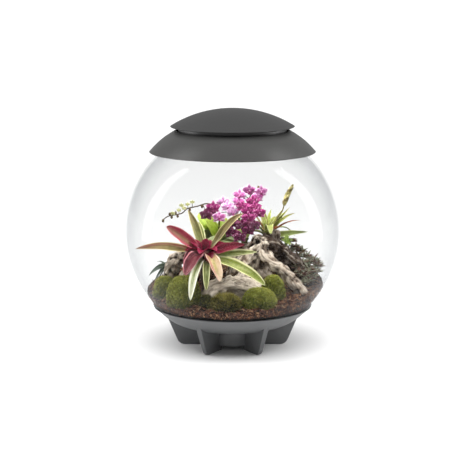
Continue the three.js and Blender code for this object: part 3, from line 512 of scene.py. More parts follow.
def fin(azimuth):  # one upright fin with eased edges, its top inside the dish's wall
    sunk = shell["standWall"] / 2
    skin = nested(sunk)[rimIndex + 9:]
    hub, bottom = foot["hubRadius"], foot["hubBottomZ"]
    toe = foot["topRadius"] - (skin[0][1] - foot["cornerHeight"]) * foot["slope"]
    outline = [(foot["innerRadius"], 0), (foot["innerRadius"], bottom + sunk), (hub - sunk, bottom + sunk)]
    outline += [spot for spot in skin[::-1] if spot[0] > hub]
    corner = foot["cornerRadius"]
    for t in np.linspace(0, 1, 9):
        outline.append(((1 - t) ** 2 * toe + 2 * t * (1 - t) * (toe - corner / 4) + t * t * (toe - corner),
                        (1 - t) ** 2 * foot["cornerHeight"]))
    count = len(outline)
    made = bmesh.new()
    corners = []
    for side in (-1, 1):
        for radius, z in outline:
            share = foot["taper"] + (1 - foot["taper"]) * z / skin[0][1]
            corners.append(made.verts.new((radius, side * foot["thickness"] / 2 * share, z)))
    made.faces.new(corners[:count])
    made.faces.new(corners[count:][::-1])
    for i in range(count):
        j = (i + 1) % count
        made.faces.new([corners[i], corners[count + i], corners[count + j], corners[j]])
    bmesh.ops.recalc_face_normals(made, faces=made.faces)
    sharp = [edge for edge in made.edges if edge.calc_face_angle(0) > radians(35)]
    bmesh.ops.bevel(made, geom=sharp, offset=foot["edge"], segments=3, affect="EDGES", profile=0.5)
    made.transform(Matrix.Rotation(azimuth, 4, "Z") @ Matrix.Scale(mm, 4))
    mesh = bpy.data.meshes.new("fin")
    made.to_mesh(mesh)
    made.free()
    return mesh


def standPiece(finish):
    wall, hub, bottom = shell["standWall"], foot["hubRadius"], foot["hubBottomZ"]
    skin, seat = nested(0)[rimIndex:], nested(wall)[rimIndex:]
    well = hub - wall
    rimR, rimZ = skin[0]
    profile = [(0, bottom), (hub, bottom), (hub, onFloor(hub)[1])]
    profile += [spot for spot in skin[::-1] if spot[0] > hub + 1]
    profile += [(rimR + 3, rimZ), (rimR + 3, rimZ + 2)] + [spot for spot in seat if spot[0] > well + 1]
    profile += [(well, onFloor(well)[1] + wall), (well, bottom + wall), (0, bottom + wall)]
    fins = [newObject("fin", fin((i + 0.5) * fullTurn / foot["count"] - pi / 2)) for i in range(foot["count"])]
    unions = [("BOOLEAN", {"operation": "UNION", "solver": "EXACT", "object": one}) for one in fins]
    mesh = applied(turned(rounded(profile, 1.6)).mesh("standShell"), *unions)
    for one in fins:
        bpy.data.objects.remove(one)
    makePiece("standShell", mesh, finish, "stand", 32)


collar = {
    "rimRadius": 191, "rimZ": 455, "topRadius": 132, "topZ": 503, "wall": 3.6, "bulge": 3.6,
    "lipDepth": 9, "lipWall": 3, "lipClearance": 1.2, "shelf": 4, "bore": 110,
}
shelfZ = upperProfile[0][1] + shell["gap"]


def collarPiece(finish):
    run, climb = collar["topRadius"] - collar["rimRadius"], collar["topZ"] - collar["rimZ"]
    swell = collar["bulge"] / hypot(run, climb)
    outside = [(collar["rimRadius"] + run * t + climb * swell * sin(pi * t),
                collar["rimZ"] + climb * t - run * swell * sin(pi * t)) for t in np.linspace(0, 1, 26)]
    inside = offset(outside, collar["wall"])
    lip = radiusAt(within(shell["wall"]), upperProfile[0][1]) - collar["lipClearance"]
    top, bottom, bore = shelfZ + collar["shelf"], shelfZ - collar["lipDepth"], collar["bore"]
    low = [spot for spot in inside if spot[1] < shelfZ - 2]
    high = [spot for spot in inside if spot[1] > top + 2]
    def edgeAt(z):
        return float(np.interp(z, [spot[1] for spot in inside], [spot[0] for spot in inside]))
    profile = outside + [(collar["topRadius"] - collar["wall"], collar["topZ"])] + high[::-1][2:]
    profile += [(edgeAt(top), top), (bore, top), (bore, shelfZ), (lip - collar["lipWall"], shelfZ)]
    profile += [(lip - collar["lipWall"], bottom), (lip, bottom), (lip, shelfZ), (edgeAt(shelfZ), shelfZ)]
    profile = rounded(profile + low[::-1] + [outside[0]], 1.2)[:-1]
    makePiece("collarShell", turned(profile, loop=True), finish, "collar", 32)


lid = {"radius": 143, "rimZ": 512.5, "height": 41, "wall": 3.6}


def domeZ(radius):
    curve = (lid["radius"] ** 2 + lid["height"] ** 2) / (2 * lid["height"])
    return lid["rimZ"] + lid["height"] - curve + sqrt(curve ** 2 - radius ** 2)


def lidPiece(finish):
    radii = np.linspace(0, lid["radius"] * 0.985, 30)
    inside = [(radius, domeZ(radius) - lid["wall"]) for radius in radii if radius < lid["radius"] * 0.95]
    rim = [(lid["radius"] - lid["wall"], lid["rimZ"] - lid["wall"] / 2), (lid["radius"], lid["rimZ"])]
    outside = [(radius, domeZ(radius)) for radius in radii[::-1]]
    makePiece("lidShell", turned(rounded(inside + rim + outside, 1.0)), finish, "lid", 32)


lamp = {
    "trayRadius": 124, "trayWall": 3, "trayGap": 0.56, "ledge": 14, "board": 2, "boardLift": 12,
    "lensRadius": 96, "lensDrop": 3, "lensSlope": 6, "flange": 8, "flangeWall": 2,
    "inletZ": 482, "inletRadius": 6, "inletWall": 2.5, "inletBack": 146, "inletFront": 172,
    "boreDepth": 18, "pinRadius": 1, "pinDepth": 4.5,
}


def lampPieces(darkFinish, boardFinish, diffuserFinish):
    outer, wall, lens, gap = lamp["trayRadius"], lamp["trayWall"], lamp["lensRadius"], shell["gap"]
    trayZ = shelfZ + collar["shelf"] + gap
    trayTop = domeZ(outer) - lid["wall"] - lamp["trayGap"]
    boardZ, ledge = trayZ + lamp["boardLift"], outer - lamp["ledge"]
    tray = [(lens, trayZ), (outer, trayZ), (outer, trayTop), (outer - wall, trayTop), (outer - wall, boardZ - gap),
            (ledge, boardZ - gap), (ledge, trayZ + wall), (lens, trayZ + wall), (lens, trayZ)]
    makePiece("lampTray", turned(rounded(tray, 0.6)[:-1], 128, True), darkFinish, "lamp_tray")
    edge, boardTop = outer - wall - 2 * gap, boardZ + lamp["board"]
    board = [(0, boardZ), (edge, boardZ), (edge, boardTop), (0, boardTop)]
    makePiece("lampBoard", turned(board, 96), boardFinish, "led_board")
    low, rim, drop = trayZ + wall + gap, lens - 2 * gap, trayZ - lamp["lensDrop"]
    high, flange = low + lamp["flangeWall"], rim + lamp["flange"]
    diffuser = [(0, drop), (rim - lamp["lensSlope"], drop), (rim, trayZ), (rim, low), (flange, low),
                (flange, high), (0, high)]
    makePiece("lampDiffuser", turned(rounded(diffuser, 0.8), 128), diffuserFinish, "lamp_diffuser")
    back, front, radius, pin = lamp["inletBack"], lamp["inletFront"], lamp["inletRadius"], lamp["pinRadius"]
    bore, floor, tip = radius - lamp["inletWall"], front - lamp["boreDepth"], front - lamp["pinDepth"]
    inlet = turned(rounded([(0, back), (radius, back), (radius, front), (bore, front), (bore, floor), (pin, floor),
                            (pin, tip), (0, tip)], 0.4), 40)
    points = inlet.points[0]  # turned upright, then laid along the depth axis
    inlet.points = [np.stack([points[:, 0], points[:, 2], lamp["inletZ"] - points[:, 1]], axis=1)]
    makePiece("powerInlet", inlet, darkFinish, "power_inlet")


# Soil and mat
bed = {
    "level": 134, "radius": 200, "mound": 8, "riseBack": 0.12, "riseRight": 0.05, "matTop": 104, "mat": 3,
    "rings": 70, "segments": 200, "rough": 1.6, "chips": 9000, "wallChips": 4600, "fibres": 1300,
    "chip": ((2.2, 1.2, 1.0), (7.0, 2.8, 2.2)), "wallChip": ((1.8, 0.9, 1.0), (5.6, 1.3, 2.7)),  # least, most
    "fibre": (7, 17), "fibreRadius": (0.22, 0.42), "fibreBend": 2.5,
    "tones": palette((72, 42, 28), (98, 62, 42), (44, 26, 19), (156, 116, 84), (82, 46, 32), (26, 16, 12),
                     (56, 33, 23), (120, 80, 57)),
    "ground": tone(26, 16, 12), "fibreTones": palette((178, 142, 110), (132, 96, 72), (200, 170, 136)),
}


def soilHeight(x, y):
    r = np.hypot(x, y)
    lump = 3.2 * np.sin(x / 14 + 1.3) * np.cos(y / 11 - 0.4) + 1.8 * np.sin(x / 5.5 - y / 7)
    evening = np.minimum(1, (bed["radius"] + 15 - r) / 60)  # lumps fade near the wall
    mound = bed["mound"] * (1 - (r / bed["radius"]) ** 2)
    return bed["level"] + bed["riseBack"] * y + bed["riseRight"] * x + mound + lump * evening


def inBed(turn, radius):
    return sin(turn) * radius, -cos(turn) * radius


def wallRadius(z):
    return radiusAt(within(shell["wall"] + 2 * shell["gap"]), z)


def soilEdge(turn):
    radius = bed["radius"]
    for _ in range(6):
        radius = wallRadius(soilHeight(*inBed(turn, radius)))
    return radius


# The mat reaches above the stand's rim, so its dark felt shows through the wall as a dark band, which also stands as
# painted shade for the joint between ball and stand.
def matPiece(finish):
    low = within(shell["wall"] + shell["gap"])
    high = within(shell["wall"] + shell["gap"] + bed["mat"])
    top = bed["matTop"]
    profile = [spot for spot in low if spot[1] < top - 0.5][::-1] + [(radiusAt(low, top), top)]
    profile += [(radiusAt(low, top) - bed["mat"] - 1, top)] + [spot for spot in high if spot[1] < top - 2]
    makePiece("rootMat", turned(profile, 160), finish, "felt_mat")


def chip(shape, centre, size, matrix, colour):
    corners = np.array([(1, 0, 0), (0, 1, 0), (-1, 0, 0), (0, -1, 0), (0, 0, 1), (0, 0, -1)], float)
    corners = corners * (1 + rng.uniform(-0.35, 0.35, (6, 1))) * size
    faces = [(0, 1, 4), (1, 2, 4), (2, 3, 4), (3, 0, 4), (1, 0, 5), (2, 1, 5), (3, 2, 5), (0, 3, 5)]
    shape.add(corners @ matrix.T + centre, faces, tone=colour)


def turnMatrix(yaw, pitch, roll):
    return np.array(Matrix.Rotation(yaw, 3, "Z") @ Matrix.Rotation(pitch, 3, "Y") @ Matrix.Rotation(roll, 3, "X"))


def soilPiece(finish):
    matTop, segments, rings = bed["matTop"], bed["segments"], bed["rings"]
    base = within(shell["wall"] + 2 * shell["gap"] + bed["mat"])
    lower = [spot for spot in base if spot[1] < matTop - 4][::-1]
    turns = np.linspace(0, fullTurn, segments, endpoint=False)
    edges = [soilEdge(turn) for turn in turns]
    points = [(0, 0, lower[0][1])]
    brim = wallRadius(matTop + 1)
    for radius, z in lower[1:] + [(brim - bed["mat"] - 1.5, matTop + 0.6), (brim, matTop + 0.6)]:
        points += [(*inBed(turn, radius), z) for turn in turns]
    for share in (0.35, 0.7):
        for turn, edge in zip(turns, edges):
            z = matTop + share * (soilHeight(*inBed(turn, edge)) - matTop)
            points.append((*inBed(turn, wallRadius(z)), z))
    for i in range(rings):
        for turn, edge in zip(turns, edges):
            x, y = inBed(turn, edge * (1 - i / rings))
            rough = bed["rough"] * noise.fractal(Vector((x / 7, y / 7, 3)), 1, 2, 3) if i else 0
            points.append((x, y, soilHeight(x, y) + rough))
    sizes = [1] + [segments] * ((len(points) - 1) // segments) + [1]
    shape = Shape()
    shape.add(points + [(0, 0, soilHeight(0, 0))], ringFaces(sizes), tone=bed["ground"])
    reach = bed["radius"] + 22
    made = 0
    while made < bed["chips"]:
        x, y = rng.uniform(-reach, reach, 2)
        if hypot(x, y) > wallRadius(soilHeight(x, y)) - 3 or underMoss(x, y):
            continue
        size = rng.uniform(*bed["chip"])
        matrix = turnMatrix(rng.uniform(0, 6.3), rng.normal(0, 0.35), rng.normal(0, 0.35))
        z = soilHeight(x, y) + rng.uniform(-0.2, 1.8)
        chip(shape, (x, y, z), size, matrix, random.choice(bed["tones"]))
        made += 1
    for _ in range(bed["wallChips"]):  # chips that lie flat against the ball's wall
        turn = rng.uniform(0, fullTurn)
        top = soilHeight(*inBed(turn, soilEdge(turn)))
        z = rng.uniform(matTop + 1.5, top + 1.5)
        matrix = turnMatrix(turn, 0, 0) @ turnMatrix(0, rng.uniform(0, 6.3), 0)
        size = rng.uniform(*bed["wallChip"])
        chip(shape, (*inBed(turn, wallRadius(z) - 1), z), size, matrix, random.choice(bed["tones"]))
    for _ in range(bed["fibres"]):
        turn, share = rng.uniform(0, fullTurn), sqrt(rng.uniform(0.02, 1))
        x, y = inBed(turn, (soilEdge(turn) - 9) * share)
        if underMoss(x, y):
            continue
        yaw, length = rng.uniform(0, 6.3), rng.uniform(*bed["fibre"])
        way = np.array([cos(yaw), sin(yaw)])
        bend = rng.uniform(-bed["fibreBend"], bed["fibreBend"])
        spots = []
        for t in (-0.5, 0, 0.5):
            spot = np.array([x, y]) + way * length * t + np.array([-way[1], way[0]]) * bend * (1 - 4 * t * t)
            spots.append((*spot, soilHeight(*spot) + 1.6 + rng.uniform(-0.4, 1.4)))
        size = rng.uniform(*bed["fibreRadius"])
        tube(shape, catmull(spots, 4), size, 3, tone=random.choice(bed["fibreTones"]))
    makePiece("barkSoil", shape, finish, "soil")


# Moss
cushions = {  # painted light: each cushion is painted paler on its lit side and darker on the far side
    "back_left": {"at": (-156, -44), "size": (27, 24, 47), "hair": 3.2, "hairs": 2600, "litSide": (-0.5, 0)},
    "left": {"at": (-108, -104), "size": (39, 31, 62), "hair": 3.2, "hairs": 7000, "litSide": (-0.55, 0)},
    # painted shade: the cushion under the bromeliad is painted in the dark tones
    "shade": {"at": (-58, -130), "size": (17, 16, 26), "hair": 4.0, "hairs": 1300, "tones": "dark"},
    "tuft": {"at": (-14, -150), "size": (33, 20, 30), "hair": 9, "hairs": 2600, "tones": "mixed", "stout": 1.9},
    "right": {"at": (59, -138), "size": (40, 29, 43), "hair": 3.4, "hairs": 7000, "litSide": (0.5, 0.1)},
    "under_root": {"at": (92, -91), "size": (28, 23, 54), "hair": 3.2, "hairs": 3600, "litSide": (0.5, 0)},
}
mossTones = {  # low, middle and tip of the growth, laid on as painted shade and light: the low tone at the shaded foot, the tip tone on tips in painted light
    "litGreen": palette((30, 36, 9), (152, 158, 50), (246, 246, 142)),
    # the dark tones are painted shade
    "dark": palette((24, 25, 12), (58, 58, 26), (120, 114, 60)),
    "mixed": palette((18, 18, 7), (88, 82, 30), (220, 206, 116)),
}
mossForm = {"rings": 22, "around": 56, "sunk": 8, "bump": 2.4, "hairRadius": (0.26, 0.46), "spread": 0.24}


def underMoss(x, y):
    for cushion in cushions.values():
        (cx, cy), (sx, sy, _) = cushion["at"], cushion["size"]
        if ((x - cx) / sx) ** 2 + ((y - cy) / sy) ** 2 < 0.72:
            return True
    return False


def mossPoint(cushion, turn, climb):  # climb 0 at the foot, 1 at the top
    (x, y), (sx, sy, height) = cushion["at"], cushion["size"]
    swell = cos(climb * pi / 2) ** 0.72 * (0.96 + 0.06 * sin(pi * climb))
    lumps = 1 + 0.05 * sin(3 * turn + x) + 0.04 * sin(5 * turn - y)
    px = x + sx * swell * lumps * cos(turn)
    py = y + sy * swell * lumps * sin(turn)
    pz = soilHeight(x, y) - mossForm["sunk"] + (height + mossForm["sunk"]) * sin(climb * pi / 2) ** 0.9
    bump = mossForm["bump"] * noise.noise(Vector((px / 8, py / 8, pz / 8)))
    out = unit(np.array([cos(turn) * swell, sin(turn) * swell, 0.35 + climb]))
    return np.array([px, py, pz]) + out * bump, out


def mossPiece(name, cushion, finish):
    low, middle, high = mossTones[cushion.get("tones", "litGreen")]
    rings, around = mossForm["rings"], mossForm["around"]
    points, shades = [np.array([*cushion["at"], soilHeight(*cushion["at"]) - 12])], [0.0]
    for climb in [i / rings for i in range(rings)]:
        points += [mossPoint(cushion, fullTurn * j / around, climb)[0] for j in range(around)]
        # painted shade: the skin under the hairs is painted darker at the foot and paler towards the top
        shades += [0.1 + 0.3 * climb] * around
    points.append(mossPoint(cushion, 0, 1.0)[0])
    shape = Shape()
    shape.add(points, ringFaces([1] + [around] * rings + [1]), tone=paintMix(low, middle, shades + [0.4]))
    for _ in range(cushion["hairs"]):
        turn, climb = rng.uniform(0, fullTurn), asin(rng.uniform(0, 1)) / (pi / 2)
        root, out = mossPoint(cushion, turn, climb)
        lean = unit(out + rng.normal(0, mossForm["spread"], 3))
        side = unit(np.cross(lean, rng.normal(0, 1, 3)))
        other = np.cross(lean, side)
        width = rng.uniform(*mossForm["hairRadius"]) * cushion.get("stout", 1)
        tip = root + lean * (cushion["hair"] * rng.uniform(0.6, 1.3))
        base = [root - out * 0.5 + width * (cos(a) * side + sin(a) * other) for a in (0, 2.1, 4.2)]
        clump = 0.7 * noise.noise(Vector(root / 5)) + noise.noise(Vector(root / 12 + 7))
        # painted light: the share by which the lit side of the cushion is painted paler and the far side darker
        litGreen = out[:2] @ np.array(cushion.get("litSide", (0, 0)))
        # painted light and shade: paler towards the top and on the lit side, darker at the foot; the clumps and the
        # rest vary at random
        shade = float(np.clip(1.2 * climb - 0.2 + litGreen + 0.8 * clump + rng.uniform(-0.4, 0.4), 0, 1))
        tones = [paintMix(low, middle, shade)] * 3 + [paintMix(middle, high, shade ** 1.3)]
        shape.add([*base, tip], [(0, 1, 3), (1, 2, 3), (2, 0, 3), (2, 1, 0)], tone=np.array(tones))
    makePiece("moss_cushion_" + name, shape, finish, "moss_" + name, 60)


# Driftwood
woodLimbs = {name: table("points from to phase bark pale", lines) for name, lines in {
    "main": [
        ([(62, -8, 112), (56, -6, 170), (58, 2, 215), (64, 8, 256)], 42, 16, 0),
        ([(64, -2, 238), (74, -20, 217), (92, -38, 199), (112, -49, 187), (132, -57, 167), (150, -62, 148),
          (166, -66, 128)], 16, 12, 1, 0, 0.1),
        ([(70, 16, 228), (100, 24, 220), (142, 24, 182), (182, 22, 134)], 31, 19, 2, 1),
        ([(94, 24, 222), (100, 30, 246), (100, 32, 266)], 13, 9, 0.5, 0.6),
        ([(64, 0, 230), (36, -20, 212), (12, -38, 186), (-6, -52, 128)], 22, 17, 3),
        ([(62, 14, 220), (20, 30, 216), (-40, 36, 206), (-96, 34, 172), (-120, 30, 116)], 22, 17, 4),
    ],
    "front": [
        ([(-54, -90, 118), (-34, -94, 144), (-4, -92, 156), (30, -87, 150), (62, -78, 120)], 28, 28, 0, 0, 0.9),
        ([(8, -86, 160), (22, -76, 176), (34, -66, 182)], 15, 11, 2, 0, 0.9),
    ],
    "left": [
        ([(-152, 4, 112), (-146, -6, 150), (-140, -10, 186), (-132, -14, 212)], 24, 15, 0),
        ([(-142, -10, 194), (-122, -10, 210), (-98, -12, 206), (-82, -14, 186)], 17, 12, 2),
    ],
}.items()}
woodWear = {
    "ridge": 0.117, "twist": 2, "voxel": 1.7, "lump": 5.4, "crack": 3.0, "fine": 0.8, "pit": 4.4, "pitSize": 10,
    "stout": 26,  # lumps and pits are smaller on limbs thinner than this
    # hollows worn into the wood, each also painted dark as painted shade, the wide shallow one above the moss under
    # the root standing for its shadow: where, how wide and how deep
    "hollows": [((56, -14, 246), 6, 7), ((76, -42, 190), 16, 14), ((62, -46, 168), 16, 12), ((30, -44, 180), 14, 11),
                ((112, -2, 208), 20, 12), ((136, 0, 180), 18, 11), ((92, -8, 226), 15, 10), ((48, -30, 204), 9, 8),
                ((-144, -30, 178), 10, 9), ((-116, -26, 200), 10, 8), ((-126, -30, 168), 10, 8),
                ((44, -112, 142), 14, 9), ((6, -118, 146), 7, 5), ((92, -62, 176), 22, 6), ((-24, -112, 142), 8, 6)],
}
# For each layer of paint: the raised wood, the dipped wood and the hollow wood, the last two as painted shade, how
# much of it is bleached, and the bark's colour, its cover and how much of that its streaks take away
bleached = tone(232, 218, 200)
woodTones = {
    "tone": (tone(184, 168, 149), tone(102, 84, 69), tone(28, 19, 15), 0.35, tone(36, 25, 20), 0.96, 0.5),
    "rim": (tone(234, 222, 205), tone(166, 145, 124), tone(46, 32, 25), 0, tone(72, 54, 44), 0.92, 0.6),
}


def woodPiece(name, limbs, finish):
    wear = woodWear
    shape = Shape()
    spines = []
    for index, limb in enumerate(limbs):
        curve = catmull(limb["points"], 34)
        start, end, phase = limb["from"], limb["to"], limb["phase"]

        def radius(along, angle):
            ridges = sin(3 * angle + wear["twist"] * along + phase) + 0.6 * sin(5 * angle - 2 * along)
            knuckle = 0.1 * sin(along * 9 + phase)
            size = (start + (end - start) * along) * (1 + wear["ridge"] * ridges + knuckle)
            return size * (0.72 if along in (0, 1) else 1)
        tube(shape, curve, radius, 26)
        sizes = start + (end - start) * np.linspace(0, 1, len(curve))
        spines.append((curve, *frames(curve)[1:], lengthsAlong(curve), sizes, np.full(len(curve), index)))
    mesh = applied(shape.mesh("limbs"), ("REMESH", {"mode": "VOXEL", "voxel_size": wear["voxel"] * mm}))
    mesh = applied(mesh, ("SMOOTH", {"factor": 0.6, "iterations": 4}))
    points, normals = readPoints(mesh, "co") / mm, readPoints(mesh, "normal")
    centres, across, over, run, sizes, owner = [np.concatenate(parts) for parts in zip(*spines)]
    nearest = np.concatenate([  # the spine point under each point of the skin, worked out in blocks
        (np.linalg.norm(block[:, None, :] - centres[None], axis=2) - sizes[None] * 0.85).argmin(axis=1)
        for block in np.split(points, range(4000, len(points), 4000))])
    across, over, sizes, owner = across[nearest], over[nearest], sizes[nearest], owner[nearest]
    arm = points - centres[nearest]
    angle = np.arctan2((arm * over).sum(1), (arm * across).sum(1))
    grain = np.stack([angle * sizes, run[nearest] + (arm * np.cross(across, over)).sum(1), owner * 40], axis=1)
    crack = 1 - smooth(0.0, 0.12, np.abs(noises(grain, (10, 40, 1))))
    groove = noises(grain, (2.6, 30, 1), (0, 0, 9))
    lumps = wobble(points, 15, 3) + 0.5 * wobble(points, 7, 6)
    pits = np.array([noise.voronoi(Vector(p / wear["pitSize"]))[0][0] for p in points])
    pits = (1 - smooth(0.16, 0.42, pits)) * smooth(-0.05, 0.3, wobble(points, 34, 8))
    slight = np.clip(sizes / wear["stout"], 0.4, 1)
    push = wear["lump"] * lumps * slight - wear["crack"] * crack * smooth(-0.3, 0.1, wobble(points, 30, 8))
    push += wear["fine"] * groove - wear["pit"] * pits * slight
    hollow = np.zeros(len(points))
    for centre, radius, depth in wear["hollows"]:
        ragged = np.linalg.norm(points - np.array(centre), axis=1) / radius + 0.35 * lumps
        share = 1 - smooth(0.45, 1.0, ragged)
        push -= share * depth
        hollow = np.maximum(hollow, share)
    points += normals * push[:, None]
    mesh.vertices.foreach_set("co", (points * mm).ravel())
    mesh.update()
    bark, pale = [np.array([limbs[i].get(key, 0) for i in owner], float) for key in ("bark", "pale")]
    bark *= smooth(-0.5, 0.1, wobble(points, 24, 5) + 0.35)
    streak = smooth(0.12, 0.4, noises(grain, (4, 60, 1), (0, 0, 30)))
    # Painted shade: darker in the dips between lumps, in cracks, hollows and pits and on low lumps, with less of it
    # on pale limbs
    dipShade = smooth(0.4, -0.5, lumps + 0.7 * wobble(points, 22, 1)) * (1 - pale)
    dark = np.clip(crack * 0.5 + hollow * 0.95 + pits * 0.8 + smooth(0.0, -0.5, lumps) * 0.6, 0, 1)
    dark = dark * (1 - 0.5 * pale)
    for layer, (raised, dipShadeTone, deep, bleach, barkTone, cover, thin) in woodTones.items():
        colour = paintMix(paintMix(raised, dipShadeTone, dipShade), deep, dark)
        colour = paintMix(colour, bleached, bleach * pale * (1 - dark))
        writePaint(mesh, layer, paintMix(colour, barkTone, bark * (cover - thin * streak)))
    writePaint(mesh, "grain", grain * mm)
    makePiece("driftwood_limb_" + name, mesh, finish, "driftwood_" + name, 80)


# Leaves: the share of its full width that a leaf has at each point from foot 0 to tip 1
leafForms = {
    "strap": lambda t: np.minimum(1, 0.62 + 0.8 * t) * np.maximum(0, 1 - t ** 3.2) ** 0.8,
    "blunt": lambda t: np.minimum(1, 0.62 + 0.8 * t) * np.maximum(0, 1 - t ** 4.5) ** 0.6,
    "lance": lambda t: np.minimum(1, 0.5 + 1.4 * t) * np.maximum(0, 1 - t ** 2.4),
    "oval": lambda t: np.sqrt(np.maximum(0, np.sin(np.pi * np.minimum(0.985, 0.05 + 0.94 * t)))),
}
plainLeaf = {"bow": 0.5, "roll": 0, "form": "strap", "ruffle": 0.06, "channel": 0.2, "sway": 0.03, "thick": 1.0}


# The colours of a leaf: foot, middle and tip at their stops, its rim from the margin on and its underside.
# It may have a heart, a band along the middle, a side, towards one edge, and streaks of the rim's colour.
def skin(foot, middle, tip, rim, under, margin, stops=(0, 0.45, 1), streak=0, **bands):
    colours = {"foot": foot, "middle": middle, "tip": tip, "rim": rim, "under": under, **bands}
    return {"margin": margin, "stops": stops, "streak": streak,
            **{part: tone(*colour) for part, colour in colours.items()}}


def stemPaint(main, rim):
    return {"tone": tone(*main), "rim": tone(*rim), "lie": (0, 0, 2)}


def lieOf(s, t, third):  # where each point of a leaf lies across and along it, and one more number
    return np.stack(np.broadcast_arrays(s, t, float(third)), axis=2)


# A channelled blade that leaves its foot towards heading, climbs to lift and ends at tip above the foot.
# Its roll turns the upper face to one side.
def leaf(shape, start, blade, tones, steps, columns):
    blade = {**plainLeaf, **blade}
    heading, reach, lift, tip, bow = [blade[key] for key in ("heading", "reach", "lift", "tip", "bow")]
    outward = np.array([cos(radians(heading)), sin(radians(heading)), 0])
    side, up = np.array([-outward[1], outward[0], 0]), np.array([0, 0, 1])
    t, s = np.linspace(0, 1, steps + 1)[:, None], np.linspace(-1, 1, columns)[None, :]
    run = reach * (2 * t * (1 - t) * bow + t * t)
    rise = 2 * t * (1 - t) * lift + t * t * tip
    slopeX, slopeZ = reach * (bow * (1 - 2 * t) + t), lift * (1 - 2 * t) + t * tip
    length = np.hypot(slopeX, slopeZ)
    over = (slopeX / length)[..., None] * up - (slopeZ / length)[..., None] * outward
    roll = np.radians(blade["roll"]) * smooth(0, 0.35, t)[..., None]
    across, above = np.cos(roll) * side + np.sin(roll) * over, np.cos(roll) * over - np.sin(roll) * side
    half = blade["width"] / 2 * np.maximum(0.02, leafForms[blade["form"]](t))
    seed = heading * 0.37 + reach * 0.11
    ruffle = blade["ruffle"] * half * np.sin(t * 19 + seed + (s > 0) * 1.3) * np.abs(s) ** 2
    keel = blade["channel"] * 2 * half * np.abs(s) ** 1.6 + ruffle
    sway = blade["sway"] * reach * np.sin(t * 2.6 + seed)
    place = start + run[..., None] * outward + rise[..., None] * up + sway[..., None] * side
    place = place + (s * half)[..., None] * across + keel[..., None] * above
    colours = np.array([tones["foot"], tones["middle"], tones["tip"]])
    colour = np.stack([np.interp(t, tones["stops"], colours[:, i]) for i in range(4)], axis=2)
    if "heart" in tones:
        band = (1 - smooth(0.1, 0.6, np.abs(s))) * smooth(0.1, 0.4, t) * (1 - smooth(0.7, 1, t))
        colour = paintMix(colour, tones["heart"], band)
    if "side" in tones:
        colour = paintMix(colour, tones["side"], smooth(0.1, 0.8, -s) * smooth(0, 0.3, t))
    if tones["streak"]:
        lines = noises(lieOf(s * 5 + seed, t * 2.5, seed).reshape(-1, 3), 1).reshape(steps + 1, columns)
        colour = paintMix(colour, tones["rim"], smooth(0.0, 0.35, lines) * tones["streak"])
    thicken(shape, place, blade["thick"], tone=(colour, paintMix(colour, tones["under"], 0.55)),
            rim=np.array(tones["rim"]), lie=lieOf(s, t, tones["margin"]))


def stock(shape, foot, radius, sides, paint):  # the short stem that leaves grow from
    x, y, z = foot
    tube(shape, catmull([(x, y, z - 15), (x, y, z), (x, y, z + 13)], 8), radius, sides, **paint)


# Bromeliad
crown = {
    "at": (-62, -74, 232), "foot": (-62, -64), "inset": 7.8, "bark": stemPaint((70, 44, 34), (120, 90, 62)),
    "leaf": {"channel": 0.24, "thick": 1.1},
    "blades": table("heading reach tip lift width low tones roll form bow", [  # low is the foot's drop
        (180, 158, 12, 28, 23, 4, "dawn", -50), (165, 92, 58, 34, 31, 2, "cherry", -42, "blunt"),
        (123, 77, 92, 56, 22, 4, "olive", -10), (104, 72, 65, 44, 20, 6, "green"),
        (22, 95, 88, 74, 20, 4, "tawny", 40), (-13, 91, 24, 16, 27, 2, "wine", 46),
        (-17, 122, 17, 8, 24, 9, "green", 38), (-30, 153, -48, 3, 29, 12, "lime", 30, "blunt"),
        (-66, 86, -48, 6, 32, 2, "pink", -6, "blunt"), (-121, 80, -38, 8, 38, 0, "blush", 0, "blunt"),
        (-109, 95, -77, 8, 21, 13, "cream", 0, "blunt", 0.8),
        (-86, 86, -54, 2, 17, 14, "green", 0, "blunt", 0.75), (60, 60, 34, 40, 26, 8, "sage"),
        (150, 72, 34, 26, 20, 8, "pink", -30), (32, 74, 22, 28, 26, 10, "sage", 30),
        (12, 64, 8, 22, 22, 12, "green", 30), (-145, 58, -14, 12, 30, 3, "blush", -16),
        (-45, 36, 4, 10, 25, -4, "cup"), (-110, 34, -1, 8, 25, -4, "cup"),
        (165, 38, 20, 18, 25, -4, "cup", -20), (85, 14, 26, 18, 23, -4, "cup"),
        (-165, 48, 4, 12, 26, -2, "wine"), (8, 46, 16, 16, 26, -3, "cup", 20), (-78, 44, -16, 6, 28, 0, "wine"),
        (45, 20, 22, 16, 20, -4, "cup"),
    ]),
}
